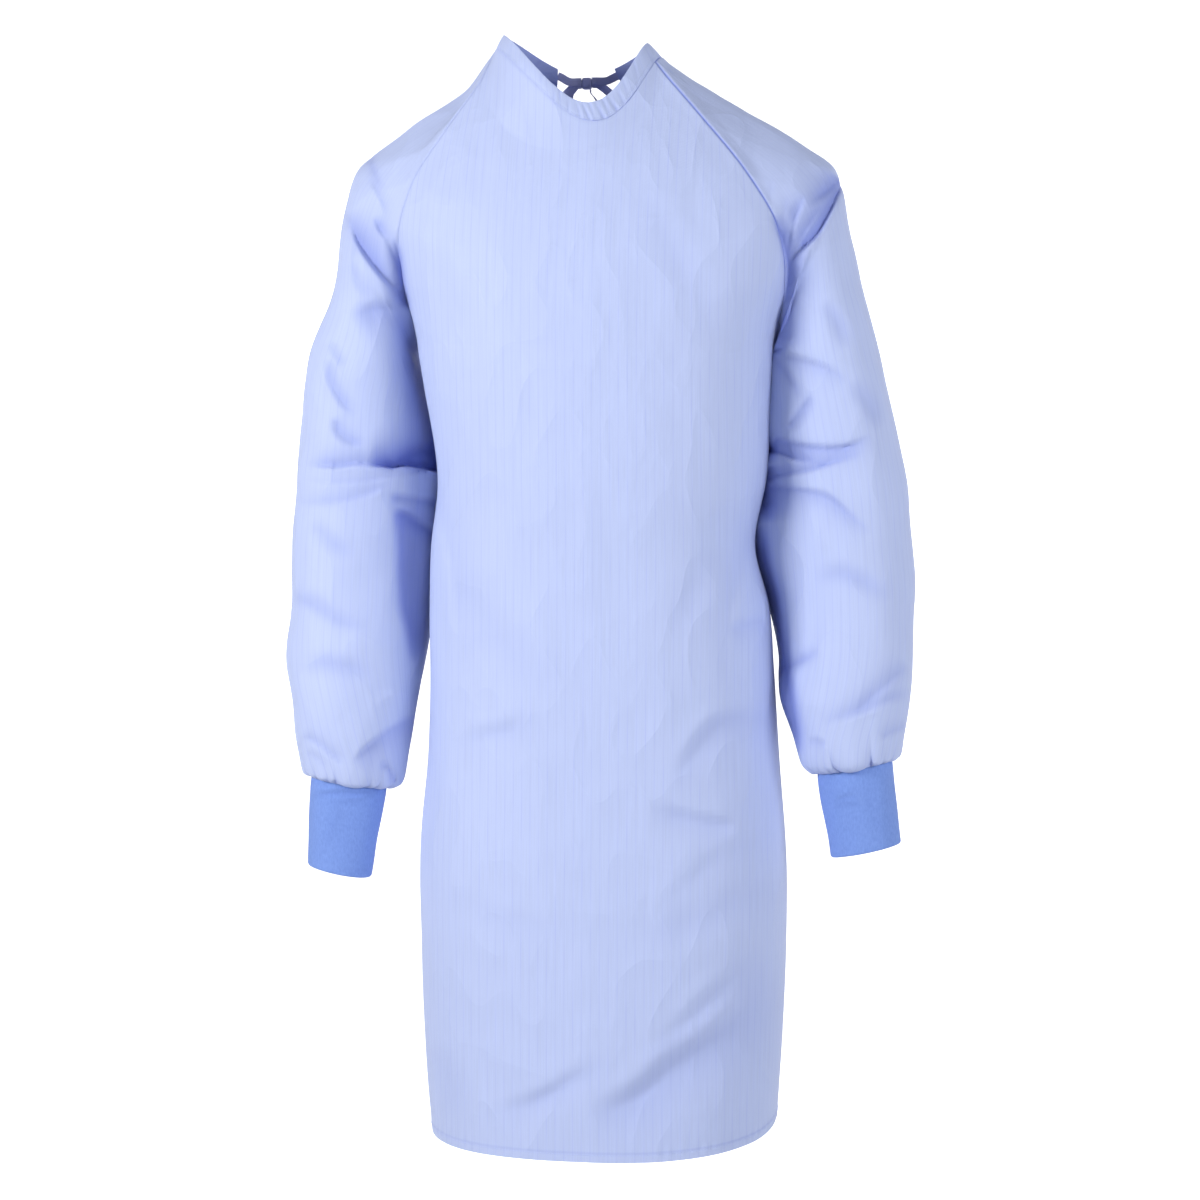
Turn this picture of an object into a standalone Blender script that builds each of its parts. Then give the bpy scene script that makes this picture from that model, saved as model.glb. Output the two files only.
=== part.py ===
"""Open-back gown with raglan sleeves and knit cuffs, in the hollow shape that it has when it is worn.

The cloth hangs from the neck and shoulders. +X is the viewer's right in the front view, the front faces
-Y, and +Z is up. The origin is at the base of the neck, where the wearer's shoulders carry the gown.
Tables are in millimetres; objects are in metres. Every wall's named size is its outer surface.
"""

import math

import bmesh
import bpy
import numpy as np

MM = 0.001

# Cloth and seams.
CLOTH = 1.6            # barrier cloth, one layer with its turned edges
KNIT = 2.2             # knit cuff, two layers
BAND = 2.4             # neck binding, folded over the neckline
BAND_PROUD = 0.4       # the binding stands out this far from the panels
SEAM_HALF = 0.2        # each piece stops this far short of its seam line
SEAT_GAP = 0.3         # between pieces that rest on each other
TIE_WIDTH = 8.5
TIE_THICK = 1.4

# How finely the walls are divided.
YOKE_STEPS = 14        # rows from the neckline to the underarm
SKIRT_STEPS = 24       # rows from the underarm to the hem
FRONT_STEPS = 24       # columns of the front panel
BACK_STEPS = 8         # columns of each back panel
NECK_STEPS = 4         # of a sleeve's top, between its two raglan seams
SLEEVE_STEPS = (2, 4, 2, 2, 2, 2, 2, 2, 2, 2, 1, 1, 1)  # rings between the rows of a sleeve's table
TAPE_STEPS = 3         # along a tie, between two of its points
BEND_REACH = 1.5       # of the curves between rows: how far a bend reaches along a longer neighbour
NEAR_SEAM = 0.2        # of a panel's width: the stretch that gives the direction of the cloth at its seam
SEAM_REACH = 0.5       # how far a sleeve keeps the direction in which it leaves its top edge
SHARP = 50             # edges sharper than this many degrees are shaded as corners

UNDERARM_ROW = 6       # the row of FRONT and BACK where the raglan seams end

# The neckline, an upright ring round the neck: its seam to the panels, then its top edge.
NECK_COLUMNS = ("x", "y", "half_width", "half_depth", "z_front", "z_left", "z_right", "z_back")
NECK = (
    (-21, -4, 86, 83, -30, 54, 43, 21),
    (-24, -5, 75, 77, -11, 68, 57, 37),
)
NECK_FRONT_DROP = 2.4  # how sharply the neckline dips towards the front, and towards the back
NECK_BACK_DROP = 3.0
NECK_LOW_TURN = 18     # its lowest point is turned this far from the ring's front, towards +X, in degrees
FRONT_SEAM_ANGLE = {-1: 83, 1: 72}  # where the raglan seams reach the neckline on each side
BACK_SEAM_ANGLE = 125
BACK_EDGE_ANGLE = 156  # where the two back edges end it

# Front panel, from the neckline to the hem. left, right and seam columns are the raglan seams down to
# the underarm and the side seams below it; mid columns are the centre line; turn is how far the panel
# has turned sideways at the seam, in degrees.
FRONT_COLUMNS = ("x_left", "z_left", "x_right", "z_right", "y_seam", "x_mid", "y_mid", "z_mid", "turn")
FRONT = (
    (-99, 48, 53, 43, -28, -23, -86, -36, 72),
    (-119, 17, 74, 19, -36, -22, -93, -60, 66),
    (-150, -30, 112, -25, -54, -18, -101, -90, 62),
    (-184, -84, 159, -83, -63, -14, -110, -126, 60),
    (-200, -134, 190, -137, -62, -10, -118, -164, 62),
    (-201, -186, 196, -188, -42, -8, -123, -206, 70),
    (-192, -246, 184, -246, 3, -6, -127, -256, 88),
    (-184, -296, 179, -296, 4, -5, -127, -303, 90),
    (-171, -389, 174, -389, 5, -4, -124, -394, 90),
    (-178, -462, 162, -462, 5, -4, -120, -466, 90),
    (-180, -525, 177, -525, 5, -4, -120, -530, 90),
    (-179, -588, 182, -588, 5, -4, -122, -593, 90),
    (-182, -682, 188, -682, 6, -4, -126, -687, 90),
    (-191, -777, 195, -777, 6, -4, -130, -782, 90),
    (-190, -872, 196, -872, 6, -4, -133, -878, 90),
    (-187, -966, 193, -964, 6, -4, -135, -972, 90),
    (-182, -1043, 189, -1030, 6, -4, -136, -1046, 90),
    (-178, -1079, 187, -1060, 6, -4, -136, -1081, 90),
)

# Back panels, row for row with FRONT. edge columns are the two free edges of the open back.
BACK_COLUMNS = (
    "x_left", "z_left", "x_right", "z_right", "y_seam", "x_mid", "y_mid", "z_mid", "turn",
    "edge_left", "edge_right",
)
BACK = (
    (-88, 40, 42, 37, 42, -23, 78, 19, 55, -57, 11),
    (-108, 8, 70, 9, 58, -22, 88, -12, 56, -60, 14),
    (-142, -38, 108, -38, 76, -20, 98, -52, 58, -62, 18),
    (-176, -92, 152, -92, 84, -18, 107, -100, 60, -62, 21),
    (-194, -142, 184, -143, 80, -16, 113, -150, 64, -61, 24),
    (-199, -194, 195, -196, 58, -14, 115, -204, 74, -59, 27),
    (-192, -246, 184, -246, 3, -12, 116, -254, 88, -57, 30),
    (-184, -296, 179, -296, 4, -10, 115, -301, 90, -55, 33),
    (-171, -389, 174, -389, 5, -8, 110, -392, 90, -53, 36),
    (-178, -462, 162, -462, 5, -6, 106, -464, 90, -52, 37),
    (-180, -525, 177, -525, 5, -6, 106, -527, 90, -52, 38),
    (-179, -588, 182, -588, 5, -5, 109, -590, 90, -52, 39),
    (-182, -682, 188, -682, 6, -5, 114, -684, 90, -53, 41),
    (-191, -777, 195, -777, 6, -5, 119, -779, 90, -54, 43),
    (-190, -872, 196, -872, 6, -5, 123, -874, 90, -55, 45),
    (-187, -966, 193, -964, 6, -5, 126, -968, 90, -57, 48),
    (-182, -1043, 189, -1030, 6, -5, 128, -1038, 90, -59, 50),
    (-178, -1079, 187, -1060, 6, -5, 128, -1072, 90, -60, 51),
)
ROUND_AT_NECK = 2.0    # superellipse power of the sections: round at the neck, fuller below
ROUND_AT_CHEST = 2.4

# Sleeves, from the ring over the shoulder tip and under the arm to the gathered end on the cuff. depth is
# half of a ring's size from front to back.
SLEEVE_COLUMNS = ("x_outer", "y_outer", "z_outer", "x_inner", "y_inner", "z_inner", "depth")
LEFT_SLEEVE = (
    (-257, 12, -66, -198, 14, -258, 66),
    (-274, 12, -120, -192, 24, -280, 69),
    (-284, 10, -186, -186, 36, -308, 73),
    (-307, 10, -250, -179, 44, -344, 76),
    (-324, 12, -360, -174, 48, -394, 79),
    (-330, 10, -450, -178, 44, -452, 80),
    (-332, 4, -520, -183, 30, -514, 77),
    (-333, -10, -580, -188, 8, -572, 72),
    (-323, -24, -630, -195, -8, -628, 67),
    (-317, -30, -670, -201, -20, -674, 58),
    (-310, -33, -700, -209, -28, -712, 46),
    (-303, -34, -704, -222, -32, -716, 36),
)
RIGHT_SLEEVE = (
    (243, 12, -74, 193, 16, -258, 66),
    (257, 12, -120, 185, 34, -280, 69),
    (272, 10, -186, 177, 52, -308, 73),
    (288, 10, -250, 172, 58, -344, 76),
    (313, 12, -360, 167, 58, -394, 79),
    (324, 10, -450, 158, 57, -452, 80),
    (328, 4, -520, 171, 45, -514, 77),
    (328, -10, -580, 187, 19, -572, 72),
    (323, -24, -620, 191, -6, -620, 66),
    (318, -30, -650, 204, -20, -652, 57),
    (314, -33, -674, 217, -28, -686, 47),
    (308, -34, -678, 230, -32, -694, 36),
)

NECK_BASE = 0.2        # this share of the way from the neckline to the shoulder, the cloth sags by
NECK_BASE_SAG = {-1: 17, 1: 2}  # so much, where the collar's stand ends,
NECK_BASE_SPREAD = 40  # and less away from the shoulder's ridge, over these degrees

# Where each row of the raglan seams meets the shoulder ring, in degrees from the shoulder tip.
SEAM_ROW_ANGLE = (20, 26, 35, 54, 78, 112, 180)
EVEN_ROW = 3           # from this row of a sleeve's table on, its points are even round the ring

# Cuffs: the edge inside the sleeve's end, then, below the seam to the sleeve, two rings down to the open end.
LEFT_CUFF = (
    (-299, -34, -696, -226, -32, -708, 32),
    (-306, -34, -754, -232, -32, -766, 33),
    (-306, -34, -798, -240, -32, -812, 30),
)
RIGHT_CUFF = (
    (304, -34, -670, 234, -32, -686, 32),
    (313, -34, -726, 238, -32, -741, 33),
    (316, -34, -764, 246, -32, -780, 30),
)

# Gathers of each sleeve's end: how deep each is, round the cuff, and the height that they fade out over.
GATHER_DEPTHS = (4.5, 2.5, 3.5, 5.0, 2.5, 4.0, 5.0, 3.0)
GATHER_HEIGHT = 64

# Soft folds, drawn on the front or the back view from (x0, z0) to (x1, z1). depth is into the cloth, and
# below 0 for a ridge.
FOLD_FADE = 45         # folds fade out this close to a seam
FOLD_ENDS = 0.12       # at its ends a fold is as deep as it would be this share of its length in from them
FOLD_TAPER = 0.7       # how bluntly it deepens from there to its middle
FOLD_COLUMNS = ("piece", "face", "x0", "z0", "x1", "z1", "depth", "width")
FOLDS = (
    ("sleeve_left", "front", -262, -128, -205, -215, 9, 10),
    ("sleeve_left", "front", -238, -120, -212, -190, 5, 9),
    ("sleeve_left", "front", -255, -214, -200, -226, 5, 8),
    ("sleeve_left", "front", -300, -392, -176, -398, 9, 10),
    ("sleeve_left", "front", -282, -338, -236, -386, 5, 9),
    ("sleeve_left", "front", -228, -440, -182, -482, 6, 10),
    ("sleeve_left", "front", -322, -555, -262, -580, 4, 12),
    ("sleeve_left", "front", -304, -648, -258, -688, 5, 8),
    ("sleeve_right", "front", 246, -84, 204, -170, 12, 10),
    ("sleeve_right", "front", 232, -122, 208, -190, 5, 8),
    ("sleeve_right", "front", 180, -398, 252, -420, 9, 9),
    ("sleeve_right", "front", 186, -440, 275, -408, 5, 9),
    ("sleeve_right", "front", 176, -462, 248, -498, 6, 10),
    ("sleeve_right", "front", 190, -575, 236, -540, 5, 10),
    ("sleeve_right", "front", 262, -634, 318, -568, 5, 14),
    ("sleeve_left", "back", -262, -130, -205, -205, 8, 12),
    ("sleeve_left", "back", -310, -372, -190, -404, 8, 11),
    ("sleeve_left", "back", -305, -440, -215, -425, 5, 11),
    ("sleeve_left", "back", -310, -600, -230, -560, 4, 13),
    ("sleeve_right", "back", 256, -130, 202, -205, 8, 12),
    ("sleeve_right", "back", 308, -385, 196, -398, 8, 11),
    ("sleeve_right", "back", 300, -425, 220, -455, 5, 11),
    ("sleeve_right", "back", 312, -575, 240, -605, 4, 13),
    ("front_panel", "front", -30, -1020, 165, -885, 7, 26),
    ("front_panel", "front", 20, -1045, 178, -925, -6, 24),
    ("front_panel", "front", 62, -1056, 176, -978, 5, 18),
    ("front_panel", "front", -70, -1028, 10, -1005, 5, 16),
    ("front_panel", "front", 82, -722, 160, -640, 5, 18),
    ("front_panel", "front", 60, -832, 140, -800, 4, 20),
    ("front_panel", "front", -120, -662, 0, -600, 4, 28),
    ("front_panel", "front", -122, -1068, -108, -1036, 5, 10),
    ("back_panel_left", "back", -110, -250, -92, -560, 7, 24),
    ("back_panel_left", "back", -118, -640, -96, -1074, 9, 24),
    ("back_panel_left", "back", -66, -700, -72, -1074, -6, 16),
    ("back_panel_right", "back", 104, -240, 92, -540, 7, 24),
    ("back_panel_right", "back", 112, -620, 94, -1072, 9, 24),
    ("back_panel_right", "back", 58, -720, 66, -1072, -6, 16),
)

# Neck ties: two cloth tapes from the ends of the binding, tied in a bow behind the neck. Each row is a
# point of a stretch of tape and the way its flat side faces there. The stretches start or end against
# the knot's flat sides; a strand's first points come from the end of the binding.
TIE_COLUMNS = ("x", "y", "z", "facing_x", "facing_y", "facing_z")
KNOT = (-26, 84.5, 30)
KNOT_SIZE = (10.5, 9.5, 12.5)
KNOT_ROUND = 1.6
STRAND_RISE = 0.55     # a strand leaves the binding this share of the way up it
STRAND_START = 4       # and goes straight on for this long
TIE_STRANDS = {
    "tie_strand_left": (
        (-43, 77, 31, -0.2, 1, 0),
        (-36, 81.6, 31.5, 0, 1, 0),
        (-31.55, 81.6, 31.5, 0, 1, 0),
    ),
    "tie_strand_right": (
        (-4, 77, 31.5, 0.2, 1, 0),
        (-16, 81.6, 32, 0, 1, 0),
        (-20.45, 81.6, 32, 0, 1, 0),
    ),
}
TIE_STRETCHES = {
    "tie_loop_left": (
        (-31.55, 84.2, 30, 0, -1, 0),
        (-36, 84.2, 30, 0, -1, 0),
        (-48, 88, 21, 0, -1, 0),
        (-60, 93, 7, 0, -1, 0),
        (-63.5, 94.5, 2.5, -0.45, -0.7, -0.54),
        (-65, 99, 0.8, -0.64, 0, -0.77),
        (-63.5, 103.5, 2.5, -0.45, 0.7, -0.54),
        (-60, 105, 7, 0, 1, 0),
        (-48, 101, 21, 0, 1, 0),
        (-36, 88.6, 30, 0, 1, 0),
        (-31.55, 88.6, 30, 0, 1, 0),
    ),
    "tie_loop_right": (
        (-20.45, 84.2, 30, 0, -1, 0),
        (-16, 84.2, 30, 0, -1, 0),
        (-4, 88, 22, 0, -1, 0),
        (8, 93, 9, 0, -1, 0),
        (11.5, 94.5, 4.5, 0.45, -0.7, -0.54),
        (13, 99, 2.8, 0.64, 0, -0.77),
        (11.5, 103.5, 4.5, 0.45, 0.7, -0.54),
        (8, 105, 9, 0, 1, 0),
        (-4, 101, 22, 0, 1, 0),
        (-16, 88.6, 30, 0, 1, 0),
        (-20.45, 88.6, 30, 0, 1, 0),
    ),
    "tie_tail_left": (
        (-31.55, 82.1, 28.5, 0, -1, 0),
        (-36, 82.1, 28.5, 0, -1, 0),
        (-43, 82.6, 22, 0, -1, 0),
        (-45.5, 84, 10, -0.1, -1, 0),
        (-48, 88, -30, -0.1, -1, 0),
        (-50, 96, -90, -0.2, -1, 0),
        (-46, 104, -150, 0, -1, 0),
    ),
    "tie_tail_right": (
        (-22, 84.5, 23.45, 1, 0, 0),
        (-22, 84.5, 20.5, 1, 0, 0),
        (-17, 84, 14, 0.8, -0.1, 0.5),
        (-11.5, 84.5, 4, 1, -0.3, 0.2),
        (-7, 88, -38, 0.8, -0.7, 0),
        (-4, 96, -95, 0.4, -1, 0),
        (-10, 104, -165, 0, -1, 0),
    ),
}


def direction(before, here, after):
    """The direction of a smooth curve at one of its points, led by the nearer neighbour."""
    came = np.linalg.norm(here - before)
    goes = np.linalg.norm(after - here)
    if came == 0 or goes == 0:
        return (after - before) / (came + goes)
    return ((here - before) / came * goes + (after - here) / goes * came) / (came + goes)


def smooth_at(points, place, leaving=None):
    """The point at a fractional place of the smooth curve through points. leaving is its first direction,
    as long as its reach. A long stretch next to a short one stays straight until near their shared point."""
    first = min(int(place), len(points) - 2)
    share = place - first
    before, start, end = points[max(first - 1, 0)], points[first], points[first + 1]
    after = points[min(first + 2, len(points) - 1)]
    step = np.linalg.norm(end - start)
    starts = direction(before, start, end) * step
    ends = direction(start, end, after) * step
    if first > 0:
        starts *= min(1, BEND_REACH * np.linalg.norm(start - before) / step)
    elif leaving is not None:
        starts = leaving * step
    if first < len(points) - 2:
        ends *= min(1, BEND_REACH * np.linalg.norm(after - end) / step)
    return (
        start * (2 * share**3 - 3 * share**2 + 1)
        + starts * (share**3 - 2 * share**2 + share)
        + end * (3 * share**2 - 2 * share**3)
        + ends * (share**3 - share**2)
    )


def row_at(table, columns, place):
    """The row at a fractional place of a table, on a smooth curve through its rows, by column name."""
    row = dict(zip(columns, smooth_at(np.array(table, float), place)))
    if "y_seam" in columns:  # a corner at the underarm, where the raglan seam meets the side seam
        seam = [named[columns.index("y_seam")] for named in table]
        row["y_seam"] = np.interp(place, range(len(table)), seam)
    return row


def neck_point(angle, rise):
    """A point of the neckline ring. angle runs from the front centre, + towards +X; rise 0 is the seam
    to the panels and 1 the top edge."""
    low, high = (np.array(row, float) for row in NECK)
    ring = dict(zip(NECK_COLUMNS, low + (high - low) * rise))
    turn = math.radians(angle)
    z_side = ring["z_left"] + (ring["z_right"] - ring["z_left"]) * (1 + math.sin(turn)) / 2
    if abs(angle) < 90:
        low = turn - math.radians(NECK_LOW_TURN) * math.cos(turn)
        z_end, drop = ring["z_front"], max(math.cos(low), 0) ** NECK_FRONT_DROP
    else:
        z_end, drop = ring["z_back"], abs(math.cos(turn)) ** NECK_BACK_DROP
    return np.array((
        ring["x"] + ring["half_width"] * math.sin(turn),
        ring["y"] - ring["half_depth"] * math.cos(turn),
        z_side + (z_end - z_side) * drop,
    ))


def roundness(place):
    """Power of the section curve at a row: sin and cos are raised to 2 / n."""
    share = min(place / UNDERARM_ROW, 1)
    return 2 / (ROUND_AT_NECK + (ROUND_AT_CHEST - ROUND_AT_NECK) * share)


def section_point(row, place, across):
    """A point of a front or back section: across is -1 at the left seam, 0 in the middle, 1 at the right."""
    side = "left" if across < 0 else "right"
    turn = math.radians(row["turn"])
    angle = abs(across) * turn
    power = roundness(place)
    out = (math.sin(angle) / math.sin(turn)) ** power
    edge = math.cos(turn) ** power if row["turn"] < 90 else 0.0
    middle = (math.cos(angle) ** power - edge) / (1 - edge) if abs(across) < 1 else 0.0
    return np.array((
        row["x_mid"] + (row["x_" + side] - row["x_mid"]) * out,
        row["y_seam"] + (row["y_mid"] - row["y_seam"]) * middle,
        row["z_" + side] + (row["z_mid"] - row["z_" + side]) * middle,
    ))


def front_point(place, across):
    """A point of the front panel; its first row blends into the neckline ring."""
    point = section_point(row_at(FRONT, FRONT_COLUMNS, place), place, across)
    if place < 1:
        on_ring = neck_point(across * FRONT_SEAM_ANGLE[-1 if across < 0 else 1], 0)
        start = section_point(row_at(FRONT, FRONT_COLUMNS, 0), 0, across)
        point = point + (on_ring - start) * (1 - place)
    return point


def back_section_point(place, side, inward):
    """A point of a back section before it blends into the neckline: inward is as for back_point."""
    row = row_at(BACK, BACK_COLUMNS, place)
    name = "left" if side < 0 else "right"
    reach = (row["edge_" + name] - row["x_mid"]) / (row["x_" + name] - row["x_mid"])
    turn = math.radians(row["turn"])
    free = math.asin(reach ** (1 / roundness(place)) * math.sin(turn)) / turn
    return section_point(row, place, side * (1 + (free - 1) * inward))


def back_point(place, side, inward):
    """A point of a back panel: side is -1 or 1, and inward runs from 0 at its seam to 1 at its free edge."""
    point = back_section_point(place, side, inward)
    if place < 1:
        seam_to_edge = BACK_SEAM_ANGLE + (BACK_EDGE_ANGLE - BACK_SEAM_ANGLE) * inward
        on_ring = neck_point(side * seam_to_edge, 0)
        point = point + (on_ring - back_section_point(0, side, inward)) * (1 - place)
    return point


def sleeve_loop(side):
    """A sleeve's top edge: from the underarm up the front raglan seam, round the neck and down the back
    seam. Gives each point, the way the cloth crosses it, and its angle on the shoulder."""
    loop = []
    for step in range(YOKE_STEPS, 0, -1):
        place = UNDERARM_ROW * step / YOKE_STEPS
        seam = front_point(place, side)
        angle = float(np.interp(place, range(UNDERARM_ROW + 1), SEAM_ROW_ANGLE))
        loop.append((seam, seam - front_point(place, side * (1 - NEAR_SEAM)), angle))
    for step in range(NECK_STEPS + 1):
        share = step / NECK_STEPS
        angle = side * (FRONT_SEAM_ANGLE[side] + (BACK_SEAM_ANGLE - FRONT_SEAM_ANGLE[side]) * share)
        seam = neck_point(angle, 0)
        loop.append((seam, seam - neck_point(angle, 1), SEAM_ROW_ANGLE[0] * (1 - 2 * share)))
    for step in range(1, YOKE_STEPS):
        place = UNDERARM_ROW * step / YOKE_STEPS
        seam = back_point(place, side, 0)
        angle = -float(np.interp(place, range(UNDERARM_ROW + 1), SEAM_ROW_ANGLE))
        loop.append((seam, seam - back_point(place, side, NEAR_SEAM), angle))
    return loop


def ring_point(row, angle):
    """A point of a sleeve or cuff ring: 0 degrees is its outer side, 90 its front, 180 its inner side."""
    turn = math.radians(angle)
    outer = np.array((row["x_outer"], row["y_outer"], row["z_outer"]))
    inner = np.array((row["x_inner"], row["y_inner"], row["z_inner"]))
    forward = np.array((0, -row["depth"], 0))
    return (outer + inner) / 2 + (outer - inner) / 2 * math.cos(turn) + forward * math.sin(turn)


def unit(vector):
    """The same direction, one long."""
    return vector / np.linalg.norm(vector)


def sleeve_grid(side, table):
    """Rings of points of a sleeve, from its top edge to its gathered end on the cuff."""
    loop = sleeve_loop(side)
    places = [0]
    for number, steps in enumerate(SLEEVE_STEPS):
        places += [number + (step + 1) / steps for step in range(steps)]
    columns = []
    for index, (seam, along_cloth, shoulder_angle) in enumerate(loop):
        along_seam = unit(loop[(index + 1) % len(loop)][0] - loop[index - 1][0])
        across_seam = unit(along_cloth - along_seam * (along_cloth @ along_seam))
        even_angle = 180 - 360 * index / len(loop)
        points = [seam]
        for number, row in enumerate(table):
            angle = shoulder_angle + (even_angle - shoulder_angle) * min(number / EVEN_ROW, 1)
            points.append(ring_point(dict(zip(SLEEVE_COLUMNS, row)), angle))
        near_arm = (abs(shoulder_angle) / 180) ** 2
        leaving = unit(across_seam * (1 - near_arm) + unit(points[1] - seam) * near_arm) * SEAM_REACH
        neck_base = seam + (points[1] - seam) * NECK_BASE
        neck_base[2] -= NECK_BASE_SAG[side] * max(1 - (shoulder_angle / NECK_BASE_SPREAD) ** 2, 0)
        points.insert(1, neck_base)
        columns.append([smooth_at(np.array(points), place, leaving) for place in places])
    return np.array(columns).transpose(1, 0, 2)


def gather(rings):
    """Waves a sleeve's end in and out between its gathers; the seam ring itself stays even."""
    turns = np.arange(rings.shape[1]) / rings.shape[1] * len(GATHER_DEPTHS)
    depth = np.interp(turns, range(len(GATHER_DEPTHS) + 1), GATHER_DEPTHS + GATHER_DEPTHS[:1])
    outward = rings - rings.mean(axis=1, keepdims=True)
    outward /= np.linalg.norm(outward, axis=2, keepdims=True)
    fade = np.clip(1 - (rings[:, :, 2] - rings[-1][:, 2]) / GATHER_HEIGHT, 0, 1) ** 1.5
    fade[-1] = 0
    return rings + outward * (np.cos(2 * math.pi * turns) * depth * fade)[:, :, None]


SEAMS = {  # the edges of each panel's grid that are sewn to another piece
    "front_panel": ("first row", "first column", "last column"),
    "back_panel_left": ("first row", "first column"),
    "back_panel_right": ("first row", "first column"),
    "sleeve_left": ("first row",),
    "sleeve_right": ("first row",),
    "neck_band": ("first row",),
}
EDGES = {
    "first row": ((0, slice(None)), (1, slice(None))),
    "first column": ((slice(None), 0), (slice(None), 1)),
    "last column": ((slice(None), -1), (slice(None), -2)),
}


def normals_of(grid, closed):
    """Unit normals of a grid of points, by the directions to the neighbouring points."""
    if closed:
        across = np.roll(grid, -1, axis=1) - np.roll(grid, 1, axis=1)
    else:
        across = np.gradient(grid, axis=1)
    down = np.gradient(grid, axis=0)
    normal = np.cross(across, down)
    return normal / np.maximum(np.linalg.norm(normal, axis=2, keepdims=True), 1e-9)


def fold(name, grid, closed, outward):
    """Presses the piece's folds from FOLDS into a grid, and leaves its seams where they are. outward is 1
    where the grid's normals face outwards and -1 where they face inwards."""
    normal = normals_of(grid, closed) * outward
    push = np.zeros(grid.shape[:2])
    for row in FOLDS:
        crease = dict(zip(FOLD_COLUMNS, row))
        if crease["piece"] != name:
            continue
        facing = -normal[:, :, 1] if crease["face"] == "front" else normal[:, :, 1]
        start = np.array((crease["x0"], crease["z0"]), float)
        along = np.array((crease["x1"], crease["z1"]), float) - start
        offset = grid[:, :, (0, 2)] - start
        share = np.clip((offset @ along) / (along @ along), 0, 1)
        away = np.linalg.norm(offset - share[:, :, None] * along, axis=2)
        taper = np.sin(math.pi * np.clip(share, FOLD_ENDS, 1 - FOLD_ENDS)) ** FOLD_TAPER
        push += crease["depth"] * np.exp(-((away / crease["width"]) ** 2)) * taper * np.clip(facing * 2, 0, 1)
    for edge in SEAMS[name]:
        seam_line = {"first row": grid[:1], "first column": grid[:, :1], "last column": grid[:, -1:]}[edge]
        push *= np.clip(np.linalg.norm(grid - seam_line, axis=2) / FOLD_FADE, 0, 1)
    return grid - normal * push[:, :, None]


def cloth_material(name, colour, roughness):
    """A matt cloth: colour is linear red, green and blue."""
    material = bpy.data.materials.new(name)
    material.use_nodes = True
    shader = material.node_tree.nodes["Principled BSDF"]
    shader.inputs["Base Color"].default_value = (*colour, 1)
    shader.inputs["Roughness"].default_value = roughness
    return material


def seam_normals(panels):
    """The outward normal at each point of the panels. Where the gown's body, a sleeve and the neck band
    share a point, each has an equal part in it, so that their walls thicken the same way."""
    totals = {}
    for name, (grid, closed, outward) in panels.items():
        group = name if name.startswith(("sleeve", "neck")) else "body"
        for point, normal in zip(grid.reshape(-1, 3), (normals_of(grid, closed) * outward).reshape(-1, 3)):
            groups = totals.setdefault(tuple(np.round(point, 2)), {})
            groups[group] = groups.get(group, 0) + normal
    return {key: unit(sum(unit(total) for total in groups.values())) for key, groups in totals.items()}


def wall(name, outer, normals, thickness, material, closed=False, seams=()):
    """A cloth wall: an outer grid of points in millimetres, thickened inwards along its outward normals.
    seams names the grid's edges that stop short of a seam line."""
    outer = outer.copy()
    inner = outer - normals * thickness
    for edge in seams:
        here, next_in = EDGES[edge]
        line = outer[here]
        along = np.roll(line, -1, axis=0) - np.roll(line, 1, axis=0) if closed else np.gradient(line, axis=0)
        along /= np.linalg.norm(along, axis=1, keepdims=True)
        away = outer[next_in] - line
        away -= along * np.sum(away * along, axis=1, keepdims=True)
        away *= SEAM_HALF / np.linalg.norm(away, axis=1, keepdims=True)
        outer[here] += away
        inner[here] += away
    rows, columns = outer.shape[:2]
    mesh = bmesh.new()
    out = [[mesh.verts.new(point * MM) for point in row] for row in outer]
    ins = [[mesh.verts.new(point * MM) for point in row] for row in inner]
    spans = columns if closed else columns - 1
    for row in range(rows - 1):
        for left in range(spans):
            right = (left + 1) % columns
            corners = ((row, left), (row, right), (row + 1, right), (row + 1, left))
            falling = np.linalg.norm(outer[row, left] - outer[row + 1, right])
            rising = np.linalg.norm(outer[row, right] - outer[row + 1, left])
            order = corners if falling < rising else corners[1:] + corners[:1]
            for triangle in (order[:3], (order[2], order[3], order[0])):
                mesh.faces.new([out[r][c] for r, c in triangle])
                mesh.faces.new([ins[r][c] for r, c in reversed(triangle)])
    rims = [[(0, column) for column in range(columns)], [(rows - 1, column) for column in range(columns)]]
    if not closed:
        rims += [[(row, 0) for row in range(rows)], [(row, columns - 1) for row in range(rows)]]
    for rim in rims:
        ends = rim + rim[:1] if closed else rim
        for (r0, c0), (r1, c1) in zip(ends, ends[1:]):
            mesh.faces.new((out[r0][c0], out[r1][c1], ins[r1][c1], ins[r0][c0]))
    bmesh.ops.recalc_face_normals(mesh, faces=mesh.faces)
    return put(name, mesh, material)


def put(name, mesh, material):
    """Puts a finished bmesh in the gown's collection as a named object."""
    data = bpy.data.meshes.new(name)
    mesh.to_mesh(data)
    mesh.free()
    data.materials.append(material)
    data.shade_smooth()
    data.set_sharp_from_angle(angle=math.radians(SHARP))
    piece = bpy.data.objects.new(name, data)
    gown.objects.link(piece)
    return piece


def row_places(table):
    """The places of a panel's rows in its table: the yoke down to the underarm, then the skirt."""
    yoke = np.linspace(0, UNDERARM_ROW, YOKE_STEPS + 1)
    skirt = np.linspace(UNDERARM_ROW, len(table) - 1, SKIRT_STEPS + 1)
    return [*yoke, *skirt[1:]]


def front_grid():
    """The one-piece front, from raglan seam to raglan seam and from side seam to side seam."""
    acrosses = np.linspace(-1, 1, FRONT_STEPS + 1)
    grid = np.array([[front_point(place, across) for across in acrosses] for place in row_places(FRONT)])
    return fold("front_panel", grid, False, -1)


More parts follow.
